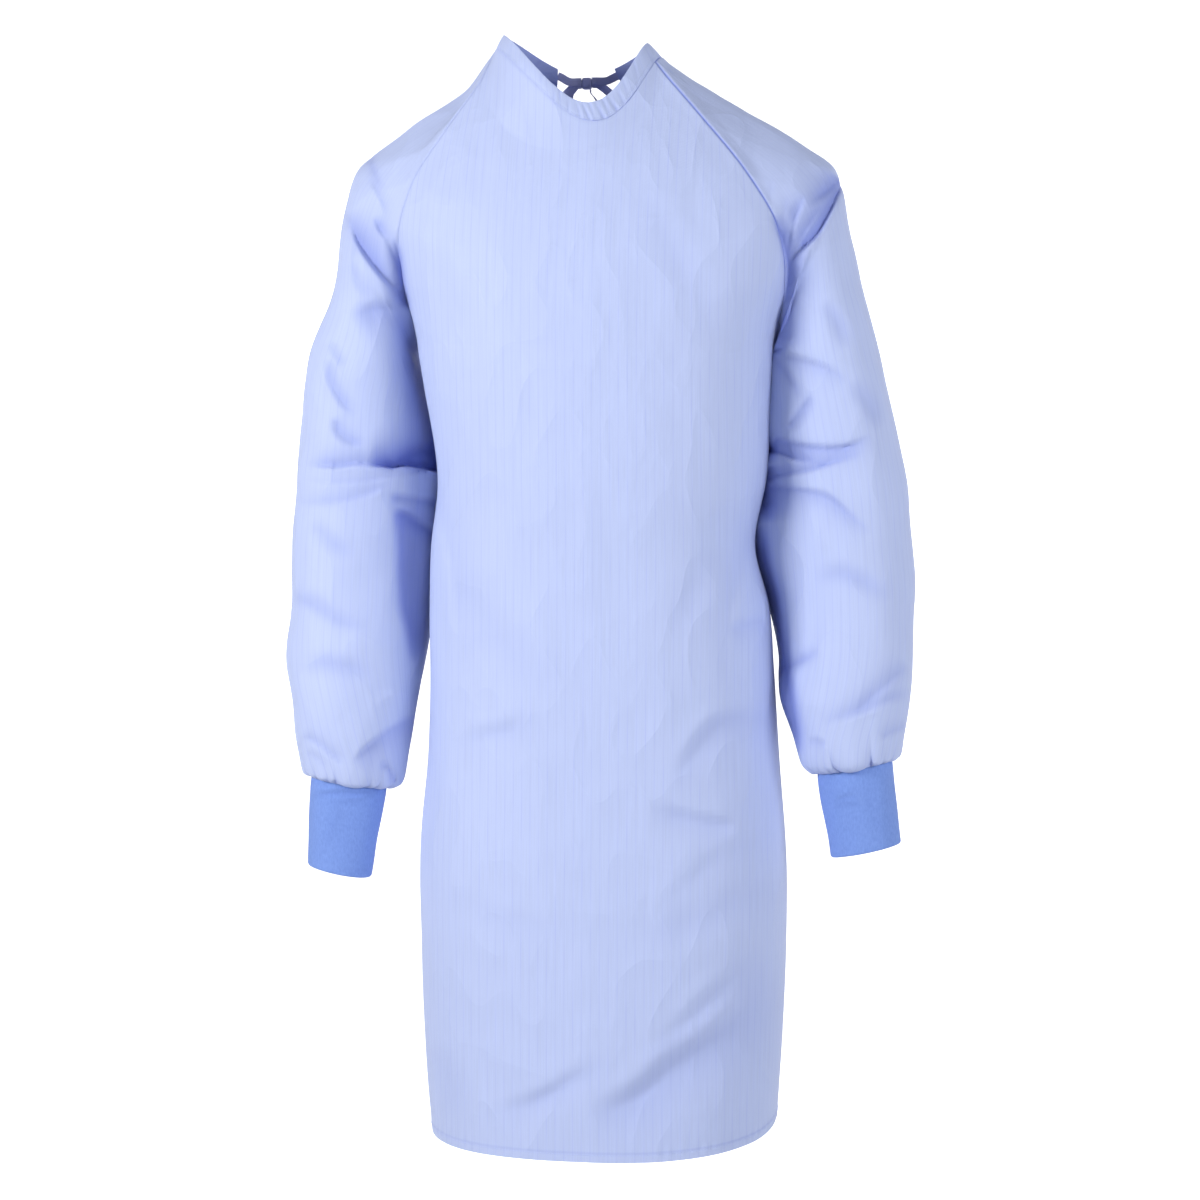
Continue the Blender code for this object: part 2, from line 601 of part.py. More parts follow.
def back_grid(side, name):
    """One half of the open back, from its raglan and side seams to its free edge."""
    inwards = np.linspace(0, 1, BACK_STEPS + 1)
    grid = np.array([[back_point(place, side, inward) for inward in inwards] for place in row_places(BACK)])
    return fold(name, grid, False, -side)


def cuff(name, table, seat):
    """A knit cuff, a tapered tube whose top edge is inside the sleeve's end. seat is the inner edge of
    the sleeve's end, which the cuff fits."""
    sides = len(seat)
    inward = seat.mean(axis=0) - seat
    fitted = seat + inward / np.linalg.norm(inward, axis=1, keepdims=True) * SEAT_GAP
    rings = [[ring_point(dict(zip(SLEEVE_COLUMNS, row)), 180 - 360 * index / sides) for index in range(sides)]
             for row in table]
    grid = np.array([rings[0], fitted, *rings[1:]])
    normals = normals_of(grid, True)
    outward = np.sign(np.sum(normals * (grid - grid.mean(axis=1, keepdims=True))))
    return wall(name, grid, normals * outward, KNIT, blue_knit, closed=True)


def band_grid():
    """The binding round the neckline, from one back edge to the other, column for column with the panels."""
    half = {}
    for side in (-1, 1):
        front = FRONT_SEAM_ANGLE[side] * np.linspace(0, 1, FRONT_STEPS // 2 + 1)
        shoulder = np.linspace(FRONT_SEAM_ANGLE[side], BACK_SEAM_ANGLE, NECK_STEPS + 1)
        back = np.linspace(BACK_SEAM_ANGLE, BACK_EDGE_ANGLE, BACK_STEPS + 1)
        half[side] = side * np.concatenate((front, shoulder[1:], back[1:]))
    angles = np.concatenate((half[-1][:0:-1], half[1]))
    return np.array([[neck_point(angle, rise) for angle in angles] for rise in (0, 0.5, 1)])


def strand_start(side):
    """The first two points of a strand of the tie, straight on from the end of the binding."""
    end = neck_point(side * BACK_EDGE_ANGLE, STRAND_RISE)
    along = unit(end - neck_point(side * (BACK_EDGE_ANGLE - 1), STRAND_RISE))
    up = neck_point(side * BACK_EDGE_ANGLE, 1) - neck_point(side * BACK_EDGE_ANGLE, 0)
    facing = unit(np.cross(along, up)) * side
    slant = unit(up) @ along
    clear = SEAT_GAP + TIE_WIDTH / 2 * abs(slant) / math.sqrt(1 - slant**2)
    start = end + facing * BAND_PROUD + along * clear
    return ((*start, *facing), (*(start + along * STRAND_START), *facing))


def tape(name, table):
    """A stretch of tie: a flat tape along the table's points, in millimetres."""
    steps = TAPE_STEPS * (len(table) - 1)
    edges = []
    for step in range(steps + 1):
        place = (len(table) - 1) * step / steps
        row = row_at(table, TIE_COLUMNS, place)
        ahead = row_at(table, TIE_COLUMNS, min(place + 0.05, len(table) - 1))
        behind = row_at(table, TIE_COLUMNS, max(place - 0.05, 0))
        point = np.array([row[axis] for axis in "xyz"])
        along = np.array([ahead[axis] - behind[axis] for axis in "xyz"])
        facing = np.array([row["facing_" + axis] for axis in "xyz"])
        across = unit(np.cross(along, facing)) * TIE_WIDTH / 2
        edges.append((point - across, point + across))
    grid = np.array(edges)
    return wall(name, grid, normals_of(grid, False), TIE_THICK, blue_cloth)


def knot():
    """The bow's knot: a small rounded block that the tapes come out of."""
    bpy.ops.mesh.primitive_cube_add(size=1, location=[value * MM for value in KNOT])
    piece = bpy.context.object
    piece.name = piece.data.name = "tie_knot"
    piece.scale = [value * MM for value in KNOT_SIZE]
    bpy.ops.object.transform_apply(location=False, rotation=False, scale=True)
    soft = piece.modifiers.new("soft", "BEVEL")
    soft.width = KNOT_ROUND * MM
    soft.segments = 3
    piece.data.materials.append(blue_cloth)
    for collection in piece.users_collection:
        collection.objects.unlink(piece)
    gown.objects.link(piece)
    return piece


for leftover in list(bpy.data.objects):
    bpy.data.objects.remove(leftover)

gown = bpy.data.collections.new("open_back_gown")
bpy.context.scene.collection.children.link(gown)
blue_cloth = cloth_material("blue_cloth", (0.527, 0.604, 0.938), 0.62)
blue_knit = cloth_material("blue_knit", (0.205, 0.319, 0.753), 0.85)

# Each panel's grid, whether it closes on itself, and whether its normals face outwards.
panels = {
    "front_panel": (front_grid(), False, -1),
    "back_panel_left": (back_grid(-1, "back_panel_left"), False, 1),
    "back_panel_right": (back_grid(1, "back_panel_right"), False, -1),
    "sleeve_left": (fold("sleeve_left", gather(sleeve_grid(-1, LEFT_SLEEVE)), True, 1), True, 1),
    "sleeve_right": (fold("sleeve_right", gather(sleeve_grid(1, RIGHT_SLEEVE)), True, -1), True, -1),
    "neck_band": (band_grid(), False, 1),
}
shared = seam_normals(panels)
ends = {}  # the inner edge of each panel's last row
for panel, (grid, closed, _) in panels.items():
    normals = np.array([[shared[tuple(np.round(point, 2))] for point in row] for row in grid])
    proud, thickness = (BAND_PROUD, BAND) if panel == "neck_band" else (0, CLOTH)
    wall(panel, grid + normals * proud, normals, thickness, blue_cloth, closed, SEAMS[panel])
    ends[panel] = grid[-1] - normals[-1] * CLOTH

cuff("cuff_left", LEFT_CUFF, ends["sleeve_left"])
cuff("cuff_right", RIGHT_CUFF, ends["sleeve_right"])
knot()
tape("tie_strand_left", (*strand_start(-1), *TIE_STRANDS["tie_strand_left"]))
tape("tie_strand_right", (*strand_start(1), *TIE_STRANDS["tie_strand_right"]))
for stretch, points in TIE_STRETCHES.items():
    tape(stretch, points)
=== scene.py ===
"""The looks of an open-back gown: a woven barrier gown with raglan sleeves, knit cuffs and a tied neck.

Forms and folds are in millimetres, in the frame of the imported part: +X is the viewer's right in the front
view, the front faces -Y and +Z is up.
"""

import math

import bpy
import numpy as np
from mathutils import Matrix


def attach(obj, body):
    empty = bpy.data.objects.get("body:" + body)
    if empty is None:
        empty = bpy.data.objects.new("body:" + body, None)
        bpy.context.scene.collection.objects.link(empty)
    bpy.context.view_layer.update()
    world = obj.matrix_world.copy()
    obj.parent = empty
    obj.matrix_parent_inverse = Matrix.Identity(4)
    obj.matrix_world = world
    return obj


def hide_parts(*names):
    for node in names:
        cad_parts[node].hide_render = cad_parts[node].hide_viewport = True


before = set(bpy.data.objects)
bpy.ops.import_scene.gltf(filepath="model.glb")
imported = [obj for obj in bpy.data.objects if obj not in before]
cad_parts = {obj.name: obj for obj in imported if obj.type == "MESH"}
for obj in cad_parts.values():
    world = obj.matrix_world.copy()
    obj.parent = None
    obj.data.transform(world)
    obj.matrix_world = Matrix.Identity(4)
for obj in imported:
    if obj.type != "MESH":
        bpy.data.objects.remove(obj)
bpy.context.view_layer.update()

MM = 0.001

# ---------------------------------------------------------------------------------------------------
# The camera: a portrait lens a little to the viewer's right of the gown's front, at chest height.

VIEW_AZIMUTH = 8
VIEW_ELEVATION = 3.2
VIEW_DISTANCE = 2800
VIEW_TARGET = (0, 0, -519)
LENS = 80
SENSOR = 36
PHOTO_SIDE = 1200      # places in the photo's view run over this many units, 1.05 mm each on the gown


def standing(right, up, back, place):
    """The matrix of a camera or a light at a place in millimetres, from its three axes."""
    return Matrix([[*axes, value * MM] for *axes, value in zip(right, up, back, place)] + [[0, 0, 0, 1]])


turn_view, tilt_view = math.radians(VIEW_AZIMUTH), math.radians(VIEW_ELEVATION)
to_right = np.array((math.cos(turn_view), math.sin(turn_view), 0))
to_camera = np.array((math.sin(turn_view) * math.cos(tilt_view), -math.cos(turn_view) * math.cos(tilt_view),
                      math.sin(tilt_view)))
to_top = np.cross(to_camera, to_right)

camera = bpy.data.objects.new("camera", bpy.data.cameras.new("camera"))
camera.data.lens = LENS
camera.data.sensor_width = SENSOR
eye = np.array(VIEW_TARGET) + to_camera * VIEW_DISTANCE
camera.matrix_world = standing(to_right, to_top, to_camera, eye)
bpy.context.scene.collection.objects.link(camera)
bpy.context.scene.camera = camera
bpy.context.scene.view_settings.view_transform = "Standard"


def in_photo(points):
    """Where points of the gown are in the photo: to the right and down, from its top left corner."""
    offset = points - np.array(VIEW_TARGET)
    size = LENS / SENSOR * PHOTO_SIDE / (VIEW_DISTANCE - offset @ to_camera)
    return PHOTO_SIDE / 2 + np.stack((offset @ to_right, -(offset @ to_top)), axis=-1) * size[..., None]


def in_front(points):
    """The same for the unseen sides, in millimetres: to the viewer's right and down from the origin."""
    return points[..., (0, 2)] * (1, -1)


# ---------------------------------------------------------------------------------------------------
# The front panel: one piece of woven polyester barrier cloth with pinstripes, cut from the neckline to the
# hem, with a pressed crease down its middle. It hangs from the neck and the raglan seams.

# The neckline, an upright ring round the neck: its seam to the panels, then its top edge.
NECK_COLUMNS = ("x", "y", "half_width", "half_depth", "z_front", "z_left", "z_right", "z_back")
NECK = (
    (-21, -4, 86, 83, -30, 54, 43, 21),
    (-24, -5, 75, 77, -11, 68, 57, 37),
)
NECK_FRONT_DROP = 2.4  # how sharply the neckline dips towards the front, and towards the back
NECK_BACK_DROP = 3.0
NECK_LOW_TURN = 18     # its lowest point is turned this far from the ring's front, towards +X, in degrees
FRONT_SEAM_ANGLE = {-1: 83, 1: 72}  # where the raglan seams reach the neckline on each side
BACK_SEAM_ANGLE = 125
BACK_EDGE_ANGLE = 156  # where the two back edges end it

UNDERARM_ROW = 6       # the row of FRONT and BACK where the raglan seams end
# left, right and seam columns are the raglan seams down to the underarm and the side seams below it; mid
# columns are the centre line; turn is how far the panel has turned sideways at the seam, in degrees.
FRONT_COLUMNS = ("x_left", "z_left", "x_right", "z_right", "y_seam", "x_mid", "y_mid", "z_mid", "turn")
FRONT = (
    (-99, 48, 53, 43, -28, -23, -86, -36, 72),
    (-119, 17, 74, 19, -36, -22, -93, -60, 66),
    (-150, -30, 112, -25, -54, -18, -101, -90, 62),
    (-184, -84, 159, -83, -63, -14, -110, -126, 60),
    (-200, -134, 190, -137, -62, -10, -118, -164, 62),
    (-201, -186, 196, -188, -42, -8, -123, -206, 70),
    (-192, -246, 184, -246, 3, -6, -127, -256, 88),
    (-184, -296, 179, -296, 4, -5, -127, -303, 90),
    (-171, -389, 174, -389, 5, -4, -124, -394, 90),
    (-178, -462, 162, -462, 5, -4, -120, -466, 90),
    (-180, -525, 177, -525, 5, -4, -120, -530, 90),
    (-179, -588, 182, -588, 5, -4, -122, -593, 90),
    (-182, -682, 188, -682, 6, -4, -126, -687, 90),
    (-191, -777, 195, -777, 6, -4, -130, -782, 90),
    (-190, -872, 196, -872, 6, -4, -133, -878, 90),
    (-187, -966, 193, -964, 6, -4, -135, -972, 90),
    (-182, -1043, 189, -1030, 6, -4, -136, -1046, 90),
    (-178, -1079, 187, -1060, 6, -4, -136, -1081, 90),
)
ROUND_AT_NECK = 2.0    # superellipse power of the sections: round at the neck, fuller below
ROUND_AT_CHEST = 2.4
BEND_REACH = 1.5       # how far a bend reaches along a longer neighbour

YOKE_STEPS = 90        # rows from the neckline to the underarm
SKIRT_STEPS = 200      # rows from the underarm to the hem
NEAR_EDGE = (0, 0.004, 0.008, 0.014, 0.022)  # columns close to a seam or a free edge, as shares of a panel
FRONT_STEPS = 154      # columns of the rest of the front panel
WAVES = 14             # that an unevenness is made of,
WAVE_SPREAD = (0.7, 1.6)  # each longer than its size by a share between these
FRONT_BUMPS = ((130, 0.55, 2.2), (46, 0.14, 1.6))  # size, height and upward stretch of the soft bumps
STITCH_APART = 3.2     # from one stitch to the next
STITCH = (2.3, 0.75, 0.6)  # length, width and height of the thread between two needle holes
CLOTH = 0.6            # one layer
HEM = 9                # the turned hem, this high,
HEM_THICK = 1.3        # is this thick,
HEM_STEP = 0.35        # lifts the right side of the cloth by this,
HEM_ROUND = 0.7        # over a step this wide,
PUCKER_APART = 11      # and is drawn in by its stitches this often along it,
PUCKER_REACH = 5       # this far beside them,
FRONT_PUCKER = 0.5     # by this much
SEAM_RELIEF = (0.4, 0.5, 0.7)  # how high the cloth stands beside the neck seam, the left and the right seam
SEAM_DIP = 1.3         # half the width of the dip along a seam
SEAM_REACHES = 8       # how far the turned edges under a seam lift the cloth
SEAM_THIN = 1.2        # this close to a seam the cloth's two faces run together
SEAM_FREE = 30         # folds and unevenness are at their full height this far from the seams
SHARP_FROM = 62        # edges of the mesh that turn by more degrees than this are sharp
PLUMB = 90             # the stripes are upright on the front within this distance of its middle

# Folds are lines pressed into a piece along a path over the photo or over the back. depth is into the cloth
# and below 0 for a ridge; left and right are the widths on the two sides of the path as one walks along it;
# power is 2 for a soft profile and 1 for a creased one; lip is how high the cloth stands beside the fold, on
# the left where it is above 0 and on the right where it is below; lean is how far that lip hangs over the
# fold; rise and fall are the shares of the path over which it comes in and fades out. A fold is pressed
# straight away from the eye that its path is drawn for, so it leaves the outline alone.
FOLD_COLUMNS = ("depth", "left", "right", "power", "lip", "lean", "rise", "fall", "path")
FRONT_FOLDS = (
    (7.5, 30, 12, 1.6, -2.5, 0, 0.4, 0.25,
     ((772, 955), (759, 977), (745, 1016), (711, 1045), (675, 1067), (631, 1103), (585, 1118))),
    (3.2, 15, 9, 1.7, -1.0, 0, 0.45, 0.45, ((760, 940), (738, 975), (706, 1006), (675, 1035), (640, 1060))),
    (3.8, 14, 8, 1.6, -1.2, 0, 0.45, 0.45, ((612, 1056), (575, 1079), (546, 1098), (517, 1108), (486, 1114))),
    (4.4, 6, 13, 1.5, 1.2, 0, 0.4, 0.1, ((727, 632), (745, 627), (766, 620))),
    (4.8, 18, 8, 1.5, -1.6, 0, 0.3, 0.5, ((772, 704), (759, 716), (721, 724), (689, 761), (670, 790))),
    (3.2, 8, 16, 1.6, 0.9, 0, 0.4, 0.5, ((455, 744), (480, 737), (512, 729), (540, 712))),
    (4.2, 6, 14, 1.5, 1.2, 0, 0.4, 0.2, ((650, 806), (668, 812), (705, 822), (740, 826))),
    (1.8, 16, 16, 2.0, 0.5, 0, 0.4, 0.4, ((712, 540), (703, 568), (684, 619), (676, 650))),
    (2.0, 20, 20, 2.0, 0.5, 0, 0.3, 0.4, ((452, 560), (476, 610), (520, 660), (560, 690))),
    (2.2, 18, 16, 2.0, 0.8, 0, 0.3, 0.4, ((775, 880), (740, 900), (690, 925), (640, 940))),
    (2.2, 12, 12, 1.8, 0.6, 0, 0.3, 0.3, ((428, 1046), (440, 1060), (452, 1085), (455, 1120))),
    (1.4, 14, 14, 2.0, 0.4, 0, 0.3, 0.5, ((640, 180), (668, 240), (700, 300), (716, 360))),
    (1.2, 14, 14, 2.0, 0.4, 0, 0.3, 0.5, ((420, 240), (450, 290), (470, 350), (474, 420))),
    (0.9, 1.6, 14, 1.2, 0, 0, 0.3, 0.4, ((591, 560), (588, 640), (588, 760), (587, 860), (588, 940))),
    (2.6, 16, 5, 1.4, -0.6, 0, 0.3, 0.5, ((430, 470), (446, 530), (458, 600), (462, 680))),
    (2.4, 5, 16, 1.4, 0.6, 0, 0.3, 0.5, ((766, 500), (744, 560), (728, 620), (722, 690))),
    (1.4, 9, 18, 1.7, 0.5, 0, 0.5, 0.5, ((430, 880), (470, 905), (530, 925), (590, 930))),
    (1.6, 18, 9, 1.6, -0.5, 0, 0.4, 0.5, ((776, 830), (735, 850), (690, 880), (655, 915))),
    (-1.1, 13, 7, 1.0, 0, 0, 0.1, 0.05,
     ((589, 130), (590, 400), (588, 640), (588, 760), (587, 900), (589, 1160))),
)

ARMPIT_FOLDS = {       # these run on into the sleeve on that side
    -1: (
        (9.0, 3, 10, 1.3, 0, 0, 0.3, 0.2, ((392, 236), (398, 252), (401, 270), (404, 292), (409, 312))),
    ),
    1: (
        (11.0, 13, 3, 1.3, 0, 0, 0.25, 0.35,
         ((772, 214), (779, 228), (785, 246), (789, 268), (787, 290), (783, 312))),
    ),
}
FRONT_OF = 40          # the folds seen in the photo lie in front of this
FADE_OUT = 24          # and fade out over this depth before they reach it
FOLD_REACH = 4         # a fold is worked out within this many of its widths
LIP_AT = 1.7           # a lip stands this many widths from the path,
LIP_SHARP = 1.4        # and is narrower where this is higher
INSIDE_PAINTED_SHADE = 0.5           # painted shade on the inner face of the cloth: at least this share of the full crease shade, more in its creases
FULL_CREASE = 9        # a fold this deep gets the darkest painted crease shade
SOFT_DARK = 0.32       # the wide folds of the front are open to the light, and get this much painted shade at most
HEM_DARK = (0.3, 1.1)  # how dark the shade painted along the hem's stitched line is, and half its width
SEAM_DARK = {-1: (0.18, 1.5), 1: (0.95, 1.2)}  # the same painted shade for the raglan seams, deeper on the right one, which the light rakes
# the same painted shade along the neck seam
NECK_DARK = (0.15, 1.5)

# The colours and the pattern of the barrier cloth.
CLOTH_BLUE = "#B6C3EB"
STRIPE_BLUE = "#A2AFE4"
CREASE_SHADE_BLUE = "#6476CD"  # painted shade: the deeper blue of light that has met the cloth many times in a fold
STRIPE_APART = 9       # between the carbon pinstripes
STRIPE_EDGE = (0.935, 0.165)  # this far from its middle a stripe ends, and is at its full strength
STRIPE_STRENGTH = (0.05, 0.6)  # it comes and goes along the cloth between these shares
STREAKS = (0.7, 0.012)  # grains to a millimetre, across and down: uneven yarn,
CLOUDS = (0.012, 0.006)  # cloudy wear from washing,
PATCHES = (0.11, 0.02)  # and the strength of the stripes
NOISE_SPAN = (0.25, 0.75)  # nearly all values of a noise lie between these
WASHED = 0.94          # the cloudy parts are this bright,
STREAKED = 0.22        # and the streaks show with this strength, between two brightnesses
STREAK_SHADES = (0.72, 1.12)
CREASE_SHADE_MOST = 0.9      # the share of the painted shade blue in the darkest crease
WRINKLE = 42           # the fine wrinkles left by folding are about this far apart, and this far upwards
WRINKLE_LONG = 70
THREAD = 0.9           # the weave is drawn at this size, about three times coarser than the real yarn


def length(vectors):
    """The lengths of vectors, kept as a last axis of one."""
    return np.linalg.norm(vectors, axis=-1, keepdims=True)


def unit(vectors):
    """The same directions, one long."""
    return vectors / np.maximum(length(vectors), 1e-9)


def direction(before, here, after):
    """The direction of a smooth curve at one of its points, led by the nearer neighbour."""
    came, goes = length(here - before), length(after - here)
    ends = (came == 0) | (goes == 0)
    came_in, goes_on = np.where(ends, 1, came), np.where(ends, 1, goes)
    inside = ((here - before) / came_in * goes + (after - here) / goes_on * came) / (came + goes)
    return np.where(ends, (after - before) / (came + goes), inside)


def smooth_at(points, place, leaving=None):
    """The point at a fractional place of the smooth curve through points, or several curves at once.
    leaving is the first direction of each, as long as its reach."""
    first = min(int(place), len(points) - 2)
    share = place - first
    before, start, end = points[max(first - 1, 0)], points[first], points[first + 1]
    after = points[min(first + 2, len(points) - 1)]
    step = length(end - start)
    starts = direction(before, start, end) * step
    ends = direction(start, end, after) * step
    if first > 0:
        starts = starts * np.minimum(1, BEND_REACH * length(start - before) / step)
    elif leaving is not None:
        starts = leaving * step
    if first < len(points) - 2:
        ends = ends * np.minimum(1, BEND_REACH * length(after - end) / step)
    return (
        start * (2 * share**3 - 3 * share**2 + 1)
        + starts * (share**3 - 2 * share**2 + share)
        + end * (3 * share**2 - 2 * share**3)
        + ends * (share**3 - share**2)
    )


def row_at(table, columns, place):
    """The row at a fractional place of a table, on a smooth curve through its rows, by column name."""
    row = dict(zip(columns, smooth_at(np.array(table, float), place)))
    if "y_seam" in columns:  # a corner at the underarm, where the raglan seam meets the side seam
        column = columns.index("y_seam")
        row["y_seam"] = np.interp(place, range(len(table)), [named[column] for named in table])
    return row


def neck_point(angle, rise):
    """Points of the neckline ring. angle runs from the front centre, + towards +X; rise 0 is the seam to
    the panels and 1 the top edge."""
    angle, rise = np.broadcast_arrays(np.asarray(angle, float), rise)
    low, high = (np.array(row, float) for row in NECK)
    ring = {name: low[i] + (high[i] - low[i]) * rise for i, name in enumerate(NECK_COLUMNS)}
    turn = np.radians(angle)
    z_side = ring["z_left"] + (ring["z_right"] - ring["z_left"]) * (1 + np.sin(turn)) / 2
    lowest = turn - math.radians(NECK_LOW_TURN) * np.cos(turn)
    front = np.maximum(np.cos(lowest), 0) ** NECK_FRONT_DROP
    back = np.abs(np.cos(turn)) ** NECK_BACK_DROP
    ahead = np.abs(angle) < 90
    z_end, drop = np.where(ahead, ring["z_front"], ring["z_back"]), np.where(ahead, front, back)
    return np.stack((
        ring["x"] + ring["half_width"] * np.sin(turn),
        ring["y"] - ring["half_depth"] * np.cos(turn),
        z_side + (z_end - z_side) * drop,
    ), axis=-1)


def roundness(place):
    """Power of the section curve at a row: sin and cos are raised to 2 / n."""
    share = min(place / UNDERARM_ROW, 1)
    return 2 / (ROUND_AT_NECK + (ROUND_AT_CHEST - ROUND_AT_NECK) * share)


def section_points(row, place, across):
    """Points of a front or back section: across is -1 at the left seam, 0 in the middle, 1 at the right."""
    turn = math.radians(row["turn"])
    power = roundness(place)
    out = (np.sin(np.abs(across) * turn) / math.sin(turn)) ** power
    edge = math.cos(turn) ** power if row["turn"] < 90 else 0.0
    middle = (np.maximum(np.cos(np.abs(across) * turn), 0) ** power - edge) / (1 - edge)
    middle = np.where(np.abs(across) < 1, middle, 0)
    left, right = ([[row[f"{axis}_{name}"]] for axis in "xz"] for name in ("left", "right"))
    x_side, z_side = np.where(across < 0, left, right)
    return np.stack((
        row["x_mid"] + (x_side - row["x_mid"]) * out,
        row["y_seam"] + (row["y_mid"] - row["y_seam"]) * middle,
        z_side + (row["z_mid"] - z_side) * middle,
    ), axis=-1)


def front_points(place, across):
    """Points of the front panel; its first row blends into the neckline ring."""
    across = np.atleast_1d(np.asarray(across, float))
    points = section_points(row_at(FRONT, FRONT_COLUMNS, place), place, across)
    if place < 1:
        seam_angle = np.where(across < 0, FRONT_SEAM_ANGLE[-1], FRONT_SEAM_ANGLE[1])
        start = section_points(row_at(FRONT, FRONT_COLUMNS, 0), 0, across)
        points = points + (neck_point(across * seam_angle, 0) - start) * (1 - place)
    return points


def row_places(table):
    """The places of a panel's rows in its table: the yoke down to the underarm, then the skirt."""
    yoke = np.linspace(0, UNDERARM_ROW, YOKE_STEPS + 1)
    skirt = np.linspace(UNDERARM_ROW, len(table) - 1, SKIRT_STEPS + 1)
    return [*yoke, *skirt[1:]]


def normals_of(grid, closed):
    """Unit normals of a grid of points, by the directions to the neighbouring points."""
    across = np.roll(grid, -1, axis=1) - np.roll(grid, 1, axis=1) if closed else np.gradient(grid, axis=1)
    return unit(np.cross(across, np.gradient(grid, axis=0)))


def press(grid, folds, seen_at, toward, front_of):
    """Presses folds into a grid, and gives the shade to be painted on each point by how deep in a crease it
    lies, from 0 to 1. seen_at gives the places that the paths are drawn over, and toward the direction from
    the cloth to the eye. front_of is how far back in Y the folds reach from that eye."""
    seen = seen_at(grid)
    facing = np.clip((front_of - grid[..., 1]) * -np.sign(toward[1]) / FADE_OUT, 0, 1)
    push, creased, shift = np.zeros(grid.shape[:2]), np.zeros(grid.shape[:2]), np.zeros(grid.shape)
    for row in folds:
        fold = dict(zip(FOLD_COLUMNS, row))
        knots = np.array(fold["path"], float)
        places = np.linspace(0, len(knots) - 1, 4 * len(knots) - 3)
        path = np.array([smooth_at(knots, place) for place in places])
        reach = FOLD_REACH * max(fold["left"], fold["right"])
        near = np.all((seen > path.min(axis=0) - reach) & (seen < path.max(axis=0) + reach), axis=2)
        near &= facing > 0
        if not near.any():
            continue
        along = np.diff(path, axis=0)
        steps = length(along)[:, 0]
        offset = seen[near][:, None] - path[None, :-1]
        share = np.clip(np.sum(offset * along, axis=2) / steps**2, 0, 1)
        apart = offset - share[..., None] * along
        which = np.argmin(np.sum(apart**2, axis=2), axis=1)
        one = np.arange(len(which))
        side = np.sign(along[which, 1] * apart[one, which, 0] - along[which, 0] * apart[one, which, 1])
        away = np.linalg.norm(apart[one, which], axis=1)
        before = np.concatenate(([0], np.cumsum(steps)))[which]
        walked = (before + share[one, which] * steps[which]) / steps.sum()
        comes = np.clip(walked / max(fold["rise"], 1e-3), 0, 1)
        goes = np.clip((1 - walked) / max(fold["fall"], 1e-3), 0, 1)
        taper = (comes * comes * (3 - 2 * comes)) * (goes * goes * (3 - 2 * goes)) * facing[near]
        width = np.where(side > 0, fold["left"], fold["right"])
        lip_side = np.sign(fold["lip"])
        lip = np.exp(-((side * lip_side * away / width - LIP_AT) ** 2) * LIP_SHARP) * abs(fold["lip"])
        profile = np.exp(-((away / width) ** fold["power"]))
        push[near] += (fold["depth"] * profile - lip) * taper
        creased[near] += max(fold["depth"], 0) / FULL_CREASE * profile * np.sqrt(taper)
        if fold["lean"]:
            ahead = unit(along[which])
            across_path = (to_right * ahead[:, 1:] + to_top * ahead[:, :1]) * -lip_side
            shift[near] += across_path * (lip / abs(fold["lip"]) * taper * fold["lean"])[:, None]
    return grid - toward * push[..., None] + shift, 1 - np.exp(-creased)


def rumple(points, seed, size, height, stretch=1.0):
    """A soft unevenness that never repeats: waves of about that size in millimetres, in all directions,
    drawn out upwards by stretch."""
    waves = np.random.default_rng(seed)
    total = np.zeros(points.shape[:2])
    for _ in range(WAVES):
        phase, pitch = waves.uniform(0, 2 * math.pi), size * waves.uniform(*WAVE_SPREAD)
        total += np.sin(points @ (unit(waves.normal(size=3)) / (1, 1, stretch)) / pitch * 2 * math.pi + phase)
    return total / math.sqrt(WAVES / 2) * height


def bumps_of(points, seeds, kinds):
    """Unevenness of several kinds, each with its own seed for the random draws."""
    return sum(rumple(points, seed, *kind) for seed, kind in zip(seeds, kinds))


def bell(away, width):
    """1 on a line, fading to 0 beside it: about a third is left at its width."""
    return np.exp(-((away / width) ** 2))


def away_from(grid, line):
    """How far each point of a grid is from the point of a seam line in its row or column."""
    return length(grid - line)[..., 0]


def seam_relief(away, height):
    """The cloth beside a seam stands up over the turned edges under it and dips to the seam line."""
    return height * (1 - bell(away, SEAM_DIP)) * bell(away, SEAM_REACHES)


def hem(away, along, pucker, wander=0):
    """A turned hem, that far from each point: where it lies, from 0 to 1, and how its step and the puckers of
    its stitches lift the cloth."""
    step = 1 / (1 + np.exp(np.clip((away - HEM) / HEM_ROUND, -30, 30)))
    puckers = np.sin(along / PUCKER_APART * 2 * math.pi + wander) * pucker * bell(away - HEM, PUCKER_REACH)
    return step, step * HEM_STEP + puckers


def wrong_side(points, out, seam_away, hem_step=0):
    """The inner face of the cloth, which runs together with the outer one at a seam."""
    thick = (CLOTH + (HEM_THICK - CLOTH) * hem_step) * (1 - bell(seam_away, SEAM_THIN))
    return points - out * thick[..., None]


def line_of(away, size_and_width):
    """A line along a seam or a hem: how high or dark it is, and half its width."""
    size, width = size_and_width
    return size * bell(away, width)


def places_of(curve, steps):
    """A smooth curve through rows of numbers, in so many even steps."""
    knots = np.array(curve, float)
    return np.array([smooth_at(knots, place) for place in np.linspace(0, len(knots) - 1, steps)])


def walked_down(grid):
    """The way along the cloth from the first row of a grid to each of its points."""
    steps = length(np.diff(grid, axis=0))[..., 0]
    return np.cumsum(np.concatenate((np.zeros((1, grid.shape[1])), steps)), axis=0)


